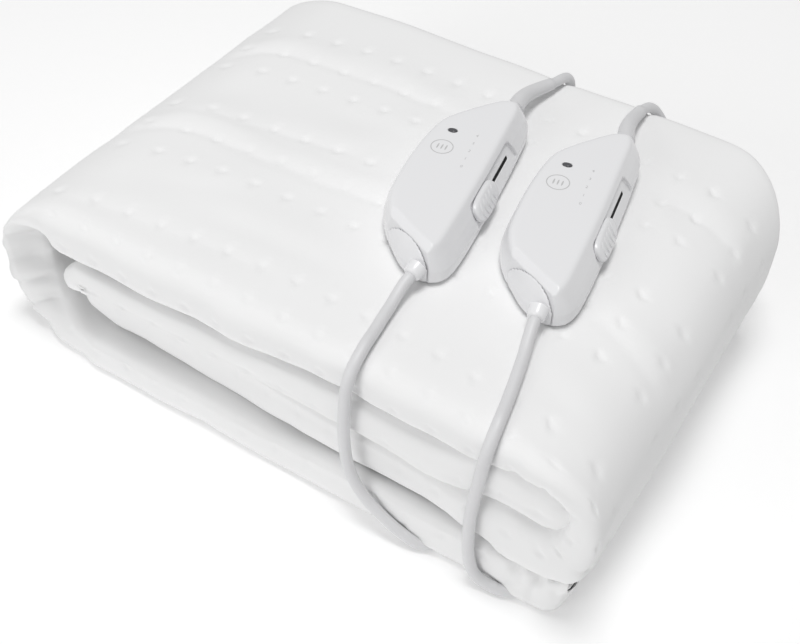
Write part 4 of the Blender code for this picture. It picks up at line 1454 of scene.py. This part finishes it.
def handset_body(name, shrink=0.0, lower=0.0, tops=()):
    """Housing and nose cap together, before the seam parts them."""
    tops = dict(tops)
    wide = soften([Vector(row[1:3]) for row in HANDSET_CORNERS])
    top = soften([Vector(tops.get(row[0], row[3:5])) for row in HANDSET_CORNERS])
    rings = []
    for height, share, drawn_in in HANDSET_LEVELS:
        ring = inset([a.lerp(b, share) for a, b in zip(wide, top)], drawn_in + shrink)
        rings.append([Vector((p.x, p.y, height * (1.0 - lower))) * MM for p in ring])
    return skin(name, rings)


def seam_block(name, shift, bevel=False):
    """Block in front of the seam; the housing's cutter slopes back near the top."""
    start, end, back = SEAM_BEVEL
    levels = [(-2.0, shift), (start, shift), (end, shift - (back if bevel else 0.0))]
    rings = []
    for z, moved in levels:
        outline = [(x - moved * 0.45, y - moved * 0.9) for x, y in SEAM] + [(-34.0, -80.0)]
        rings.append([Vector((x, y, z)) * MM for x, y in outline])
    return skin(name, rings)


def oval(name, centre, half, levels, steps=32):
    """Oval button through levels of height and inset."""
    rings = [[Vector((centre[0] + (half[0] - drawn) * c, centre[1] + (half[1] - drawn) * s, z))
              * MM for c, s in circle(steps)] for z, drawn in levels]
    return skin(name, rings)


def cut(target, cutters, operation="DIFFERENCE"):
    """Boolean with several cutters, applied one after the other, and the cutters removed."""
    for cutter in cutters:
        modifier = target.modifiers.new(cutter.name, "BOOLEAN")
        modifier.operation = operation
        modifier.solver = "EXACT"
        modifier.object = cutter
    apply_modifiers(target)
    remove(*cutters)
    return target


def mould(obj, keep=0.3):
    """Round the edges as a mould would: a fine remesh, smoothed and thinned."""
    remesh = obj.modifiers.new("Remesh", "REMESH")
    remesh.mode = "VOXEL"
    remesh.voxel_size = bpy.context.scene.blanket_handset.voxel
    relax = obj.modifiers.new("Smooth", "SMOOTH")
    relax.factor = 0.5
    relax.iterations = 3
    thin = obj.modifiers.new("Decimate", "DECIMATE")
    thin.ratio = keep
    apply_modifiers(obj)
    obj.data.shade_smooth()
    return obj


def stand(obj, side):
    """Move a piece made in the handset's own frame to its place on the blanket."""
    x, y, turned = HANDSETS[side]
    obj.data.transform(Matrix.Translation(placed(x, y, HANDSET_FLOOR))
                       @ Matrix.Rotation(math.radians(turned), 4, "Z"))
    return obj


def slider(name):
    """Thumb slider: a rounded pad in the recess with arched ribs and a stem in the slot."""
    floor = 0.3 - RECESS_DEPTH
    rings = []
    for out, drawn in THUMB_LEVELS:
        ring = []
        for place in circle(56):
            c, s = (math.copysign(abs(v) ** THUMB_SQUARE, v) for v in place)
            y = THUMB_MIDDLE[0] + (THUMB_HALF[0] - drawn) * c
            z = THUMB_MIDDLE[1] + (THUMB_HALF[1] - drawn) * s
            ring.append(Vector((side_at(z) + floor + out, y, z)) * MM)
        rings.append(ring)
    pad = skin(name + "_pad", rings)
    rib_rings = []
    for k in range(13):
        z = THUMB_MIDDLE[1] + (k / 12.0 - 0.5) * 2.0 * (THUMB_HALF[1] - 0.9)
        lift = math.sqrt(max(0.0, 1.0 - (abs(k / 6.0 - 1.0)) ** 4))
        bow = 2.2 * (1.0 - (k / 6.0 - 1.0) ** 2)
        first = THUMB_MIDDLE[0] - (RIBS - 1) * RIB_PITCH / 2.0
        rib_rings.append([Vector((side_at(z) + floor + out * (0.35 + 0.65 * lift) + 1.6,
                                  first - bow + 0.9 + across, z)) * MM
                          for across, out in RIB_SECTION])
    rib = skin(name + "_rib", rib_rings)
    tree = made_once(bpy.data.node_groups, "Row of copies", row_tree)
    run_tree(rib, tree, count=RIBS, step=(0.0, RIB_PITCH * MM, 0.0),
             material=material_of("shell"))
    stem = side_prism(name + "_stem", STEM, 0.6 - SLOT_DEPTH, floor + 0.8)
    return joined(name, [pad, rib, stem])


def slot_liner(name):
    """Dark channel that lines the slot."""
    y0, y1, z0, z1 = SLOT[0][0] + 0.15, SLOT[1][0] - 0.15, SLOT[0][1] - 0.1, SLOT[2][1] + 0.1
    deep, mouth = -SLOT_DEPTH + 0.1, -RECESS_DEPTH - 0.35
    outside = side_prism(name, ((y0, z0), (y1, z0), (y1, z1), (y0, z1)), deep, mouth)
    a, b = SLOT_WALL + 0.1, 0.3
    inside = side_prism(name + "_cut", ((y0 + a, z0 + a), (y1 - a, z0 + a), (y1 - a, z1 - a),
                                        (y0 + a, z1 - a)), deep + b, mouth + 2.0)
    return cut(outside, [inside])


def digit(name, text, x, y):
    """One printed figure, as a thin slab on the housing's top."""
    curve = bpy.data.curves.new(name, "FONT")
    curve.body = text
    curve.size = MARK_TALL * MM
    curve.align_x = "CENTER"
    curve.align_y = "CENTER"
    curve.extrude = (INK_HIGH - INK_LOW) / 2 * MM
    curve.resolution_u = 3
    obj = linked(name, curve)
    graph = bpy.context.evaluated_depsgraph_get()
    mesh = bpy.data.meshes.new_from_object(obj.evaluated_get(graph))
    remove(obj)
    mesh.transform(Matrix.Translation(Vector((x, y, (INK_LOW + INK_HIGH) / 2)) * MM))
    return linked(name, mesh)


def ring_mark(name, centre, outside, inside, steps=40):
    """Flat printed ring."""
    verts, faces = [], []
    corners = ((outside, INK_LOW), (outside, INK_HIGH), (inside, INK_HIGH), (inside, INK_LOW))
    for i, (c, s) in enumerate(circle(steps)):
        for radius, z in corners:
            verts.append(Vector((centre[0] + radius * c, centre[1] + radius * s, z)) * MM)
        j = (i + 1) % steps
        for k in range(4):
            n = (k + 1) % 4
            faces.append((i * 4 + k, j * 4 + k, j * 4 + n, i * 4 + n))
    return mesh_object(name, verts, faces, 30.0)


def printed_marks(name):
    """Plain figures beside the slider's five places, and a plain ring with three short bars."""
    (x0, y0), (x1, y1) = MARK_ROW
    parts = []
    for i in range(MARKS):
        share = i / (MARKS - 1)
        parts.append(digit(f"{name}_{i}", str(i), x0 + (x1 - x0) * share, y0 + (y1 - y0) * share))
    parts.append(ring_mark(name + "_ring", RING_AT, RING_RADIUS, RING_RADIUS - 0.55))
    bar = oval(name + "_bar", (RING_AT[0] - 2.4, RING_AT[1]), (0.45, 2.3),
               ((INK_LOW, 0.0), (INK_HIGH, 0.0)), 12)
    tree = made_once(bpy.data.node_groups, "Row of copies", row_tree)
    run_tree(bar, tree, count=3, step=(2.4 * MM, 0.0, 0.0), material=material_of("ink"))
    parts.append(bar)
    return joined(name, parts)


def housing(name):
    """Moulded housing with its recess, slot, lamp hole and bevelled seam edge."""
    body = handset_body(name, tops=HOUSING_TOP)
    cutters = [
        seam_block(name + "_seam_cut", 0.0, bevel=True),
        side_prism(name + "_recess_cut", RECESS, -RECESS_DEPTH, 12.0),
        side_prism(name + "_slot_cut", SLOT, -SLOT_DEPTH, 0.0),
        oval(name + "_lamp_cut", LAMP_AT, [h + 0.3 for h in LAMP_HALF],
             ((HANDSET_TOP - 1.6, 0.0), (HANDSET_TOP + 2.0, 0.0))),
    ]
    return mould(cut(body, cutters))


def nose_cap(name):
    """Nose cap, a little lower and narrower than the housing behind its seam."""
    cap = handset_body(name, 0.25, 0.03)
    return mould(cut(cap, [seam_block(name + "_keep", SEAM_WIDTH)], "INTERSECT"), 0.4)


# -------------------------------------------------------------------- the plugs

def rounded_ring(x, y, wide, tall, corner, steps=7):
    """Rounded rectangle across the plug's length."""
    ring = []
    for sx, sz, first in ((1, 1, 0), (-1, 1, 90), (-1, -1, 180), (1, -1, 270)):
        for k in range(steps):
            angle = math.radians(first + 90.0 * k / (steps - 1))
            ring.append(placed(x, y + sx * (wide - corner) + corner * math.cos(angle),
                               PLUG_AXIS + sz * (tall - corner) + corner * math.sin(angle)))
    return ring


def plug(name, neck):
    """Flat two-pin plug that points to -X, moulded with its sleeve and grip ribs."""
    x, y = neck
    sections = [rounded_ring(x - along, y, wide, tall, min(corner, wide - 0.05, tall - 0.05))
                for along, wide, tall, corner in PLUG_SECTIONS]
    body = skin(name, sections, 60.0)
    ribs = []
    tree = made_once(bpy.data.node_groups, "Row of copies", row_tree)
    for up in (-1.0, 1.0):
        rings = []
        for k in range(9):
            across = (k / 8.0 - 0.5) * 16.0
            lift = 0.75 * math.sqrt(max(0.0, 1.0 - (across / 8.2) ** 4))
            rings.append([placed(x - GRIP_FIRST + a, y + across, PLUG_AXIS + up * (6.0 + b))
                          for a, b in ((-0.8, 0.0), (-0.6, 0.6 + lift * 0.7), (0.0, 0.75 + lift),
                                       (0.6, 0.6 + lift * 0.7), (0.8, 0.0))])
        rib = skin(name + f"_rib{up:.0f}".replace("-", "m"), rings)
        run_tree(rib, tree, count=GRIP_RIBS, step=(-GRIP_PITCH * MM, 0.0, 0.0),
                 material=material_of("shell"))
        ribs.append(rib)
    return joined(name, [body] + ribs)


def plug_pin(name, root, y):
    """Round pin with a rounded tip and a sleeved half."""
    radius = PLUG_PIN / 2.0
    stations = ((0.0, radius), (0.8, radius), (9.5, radius), (9.8, radius - 0.12),
                (16.6, radius - 0.12), (17.8, radius - 0.5), (18.6, radius - 1.1),
                (PLUG_PIN_LONG, radius - 1.9))
    rings = [[placed(root - along, y + r * c, PLUG_AXIS + r * s) for c, s in circle(20)]
             for along, r in stations]
    return skin(name, rings, 40.0)


def tie(name, centre, angle):
    """Flat band round the coil's turns, a little slack on its inner side."""
    clear = 0.3
    middle, out = (COIL_INSIDE + COIL_OUTSIDE) / 2, (COIL_OUTSIDE - COIL_INSIDE) / 2 + clear
    high, low = COIL_HIGH + clear, COIL_LOW - clear
    turn = math.radians(angle)
    radial = Vector((math.cos(turn), math.sin(turn), 0.0))
    along = Vector((-math.sin(turn), math.cos(turn), 0.0))

    def loop(grow):
        """One closed line round the turns, grown outwards."""
        corner = 3.0 + grow
        i, o, t, b = -out - TIE_SLACK - grow, out + grow, high + grow, low - grow
        points = []
        for cx, cz, first in ((o - corner, t - corner, 0), (i + corner, t - corner, 90),
                              (i + corner, b + corner, 180), (o - corner, b + corner, 270)):
            for k in range(7):
                turned = math.radians(first + 15.0 * k)
                points.append((cx + corner * math.cos(turned), cz + corner * math.sin(turned)))
        return points

    profile = ((0.15, -0.5), (0.0, -0.42), (0.0, 0.42), (0.15, 0.5),
               (0.85, 0.5), (1.0, 0.42), (1.0, -0.42), (0.85, -0.5))
    loops = [loop(share * TIE_THICK) for share, _ in profile]
    count, verts, faces = len(loops[0]), [], []
    for (_, across), points in zip(profile, loops):
        for r, z in points:
            spot = Vector((*centre, z)) + radial * (middle + r) + along * (across * TIE_WIDTH)
            verts.append(placed(*spot))
    for a in range(len(profile)):
        b = (a + 1) % len(profile)
        for i in range(count):
            j = (i + 1) % count
            faces.append((a * count + i, a * count + j, b * count + j, b * count + i))
    return mesh_object(name, verts, faces, 40.0)


# ------------------------------------------------------------------- the studio

def lamp(name, at, size, power):
    """Soft square white lamp, turned to the blanket."""
    light = bpy.data.lights.new(name, "AREA")
    light.shape = "SQUARE"
    light.size = size
    light.energy = power
    obj = linked(name, light)
    obj.location = at
    ahead = Vector(LIGHT_TARGET) - Vector(at)
    obj.rotation_euler = ahead.to_track_quat("-Z", "Y").to_euler()


def camera_turn():
    """Rotation of the camera from its pitch, yaw and roll."""
    pitch, yaw, roll = (math.radians(a) for a in (CAMERA_PITCH, CAMERA_YAW, CAMERA_ROLL))
    ahead = Vector((math.sin(yaw) * math.cos(pitch), math.cos(yaw) * math.cos(pitch),
                    -math.sin(pitch)))
    level = Vector((math.cos(yaw), -math.sin(yaw), 0.0))
    lifted = level.cross(ahead)
    right = level * math.cos(roll) + lifted * math.sin(roll)
    up = lifted * math.cos(roll) - level * math.sin(roll)
    return Matrix((right, up, -ahead)).transposed().to_euler()


# ------------------------------------------------------------------- operators

class BLANKET_OT_studio(bpy.types.Operator):
    """Set up the pale floor, the soft light and the camera"""
    bl_idname = "blanket.studio"
    bl_label = "Studio"

    def execute(self, context):
        look = context.scene.blanket_studio
        corners = [(x * FLOOR_HALF, y * FLOOR_HALF, 0.0)
                   for x, y in ((-1, -1), (1, -1), (1, 1), (-1, 1))]
        mesh = bpy.data.meshes.new("studio_floor")
        mesh.from_pydata(corners, [], [(0, 1, 2, 3)])
        mesh.materials.append(moulded(
            "studio floor", look.floor_colour, (0.85, 0.95), 0.02 * MM, 0.995,
            Emission_Color=(1.0, 1.0, 1.0, 1.0), Emission_Strength=look.floor_glow))
        linked("studio_floor", mesh)

        lens = bpy.data.cameras.new("camera")
        lens.sensor_width = SENSOR
        lens.lens = look.lens
        lens.clip_start = 0.01
        camera = linked("camera", lens)
        camera.location = CAMERA_AT
        camera.rotation_euler = camera_turn()
        context.scene.camera = camera

        world = bpy.data.worlds.new("studio")
        world.use_nodes = True
        sky = world.node_tree.nodes["Background"]
        sky.inputs["Color"].default_value = (1.0, 1.0, 1.0, 1.0)
        sky.inputs["Strength"].default_value = look.sky
        context.scene.world = world
        context.scene.view_settings.view_transform = "Standard"
        lamp("key_light", KEY_AT, KEY_SIZE, look.key)
        lamp("fill_light", FILL_AT, FILL_SIZE, look.fill)
        return {"FINISHED"}


class BLANKET_OT_leads(bpy.types.Operator):
    """Lay the two front leads and wind the two mains leads into their coils"""
    bl_idname = "blanket.leads"
    bl_label = "Leads, sleeves and ties"

    def execute(self, context):
        look = context.scene.blanket_lead
        radius = look.diameter / 2
        sheath = material_of("sheath")
        for side in SIDES:
            points = smooth_route([placed(*p) for p in FRONT_LEADS[side]], 2.2 * MM)
            front = tube(side + "_front_flex", points, [radius] * len(points))
            finish(front, sheath, replaces=[side + "_front_lead"])

            start, ahead = (placed(*p) for p in FRONT_LEADS[side][:2])
            back = (start - ahead).normalized()
            collar = tube(side + "_collar", [start + back * d * MM for d, _ in COLLAR_RIMS],
                          [r * MM for _, r in COLLAR_RIMS], 28)
            finish(collar, material_of("shell"), replaces=[side + "_lead_collar"])

            route = smooth_route([placed(*p) for p in SLEEVES[side]], 2.0 * MM)
            count = len(route) - 1
            first, last = SLEEVE_RADII
            radii = [(first + (last - first) * (i / count) ** 0.8) * MM for i in range(count + 1)]
            sleeve = tube(side + "_sleeve", route, radii, 28)
            finish(sleeve, sheath, replaces=[side + "_neck_sleeve"])

            path = mains_points(side)
            mains = tube(side + "_mains_flex", path, [radius] * len(path), 14)
            finish(mains, sheath,
                   replaces=[side + "_mains_lead", side + "_coil", side + "_plug_tail"])

            body = plug(side + "_plug_body", PLUG_NECKS[side])
            finish(body, material_of("shell"), replaces=[side + "_plug"])
            root = PLUG_NECKS[side][0] - PLUG_SECTIONS[-1][0] + 1.0
            for label, offset in (("near", -PLUG_PIN_APART / 2), ("far", PLUG_PIN_APART / 2)):
                pin = plug_pin(f"{side}_pin_{label}", root, PLUG_NECKS[side][1] + offset)
                finish(pin, material_of("pin"),
                                   replaces=[f"{side}_plug_pin_{label}"])
            band = tie(side + "_band", COILS[side], TIE_ANGLE[side])
            finish(band, material_of("tie"), replaces=[side + "_tie"])
        return {"FINISHED"}


class BLANKET_OT_sheet(bpy.types.Operator):
    """Fold the fleece sheet into its strip and roll, with its dots and creases"""
    bl_idname = "blanket.sheet"
    bl_label = "Folded sheet"

    def execute(self, context):
        sheet, hems = build_sheet("folded_sheet")
        finish(sheet, material_of("fleece"), replaces=["blanket"])
        for label, hem in hems.items():
            stitch = hem_stitches(f"{label}_hem_stitches", hem)
            finish(stitch, material_of("thread"))
        return {"FINISHED"}


class BLANKET_OT_handsets(bpy.types.Operator):
    """Mould the two handsets with their sliders, lamps and printed marks"""
    bl_idname = "blanket.handsets"
    bl_label = "Handsets"

    def execute(self, context):
        shell = material_of("shell")
        for side in SIDES:
            finish(stand(housing(side + "_shell"), side), shell,
                   replaces=[side + "_housing"])
            finish(stand(nose_cap(side + "_nose"), side), shell,
                   replaces=[side + "_nose_cap"])
            finish(stand(slider(side + "_thumb"), side), shell,
                   body=side + "_slider", replaces=[side + "_slider"])
            lens = oval(side + "_lens", LAMP_AT, LAMP_HALF,
                        ((HANDSET_TOP - 1.3, 0.0), (HANDSET_TOP + 0.1, 0.0),
                         (HANDSET_TOP + 0.3, 0.3), (HANDSET_TOP + 0.4, 0.8)))
            finish(stand(lens, side), material_of("lamp"), replaces=[side + "_lamp"])
            finish(stand(slot_liner(side + "_slot_liner"), side), material_of("slot liner"))
            finish(stand(printed_marks(side + "_marks"), side), material_of("ink"))
        return {"FINISHED"}


class BLANKET_PT_panel(bpy.types.Panel):
    """Sidebar panel with one button for each group of pieces"""
    bl_label = "Underblanket"
    bl_idname = "BLANKET_PT_panel"
    bl_space_type = "VIEW_3D"
    bl_region_type = "UI"
    bl_category = "Underblanket"

    def draw(self, context):
        for settings in GROUPS:
            group = getattr(context.scene, settings)
            box = self.layout.box()
            for name in group.bl_rna.properties.keys():
                if name not in {"rna_type", "name"}:
                    box.prop(group, name)
        for operator in OPERATORS:
            self.layout.operator(operator.bl_idname)


GROUPS = {
    "blanket_cloth": ClothSettings,
    "blanket_handset": HandsetSettings,
    "blanket_lead": LeadSettings,
    "blanket_studio": StudioSettings,
}
OPERATORS = (BLANKET_OT_studio, BLANKET_OT_leads, BLANKET_OT_sheet, BLANKET_OT_handsets)
CLASSES = (*GROUPS.values(), *OPERATORS, BLANKET_PT_panel)


def register():
    """Register the classes and give the scene its settings."""
    for cls in CLASSES:
        bpy.utils.register_class(cls)
    for name, settings in GROUPS.items():
        setattr(bpy.types.Scene, name, PointerProperty(type=settings))


def unregister():
    """Take the settings and the classes away again."""
    for name in GROUPS:
        delattr(bpy.types.Scene, name)
    for cls in reversed(CLASSES):
        bpy.utils.unregister_class(cls)


def main():
    """Make the stage and every piece."""
    register()
    bpy.ops.blanket.studio()
    bpy.ops.blanket.leads()
    bpy.ops.blanket.sheet()
    bpy.ops.blanket.handsets()


if __name__ == "__main__":
    main()
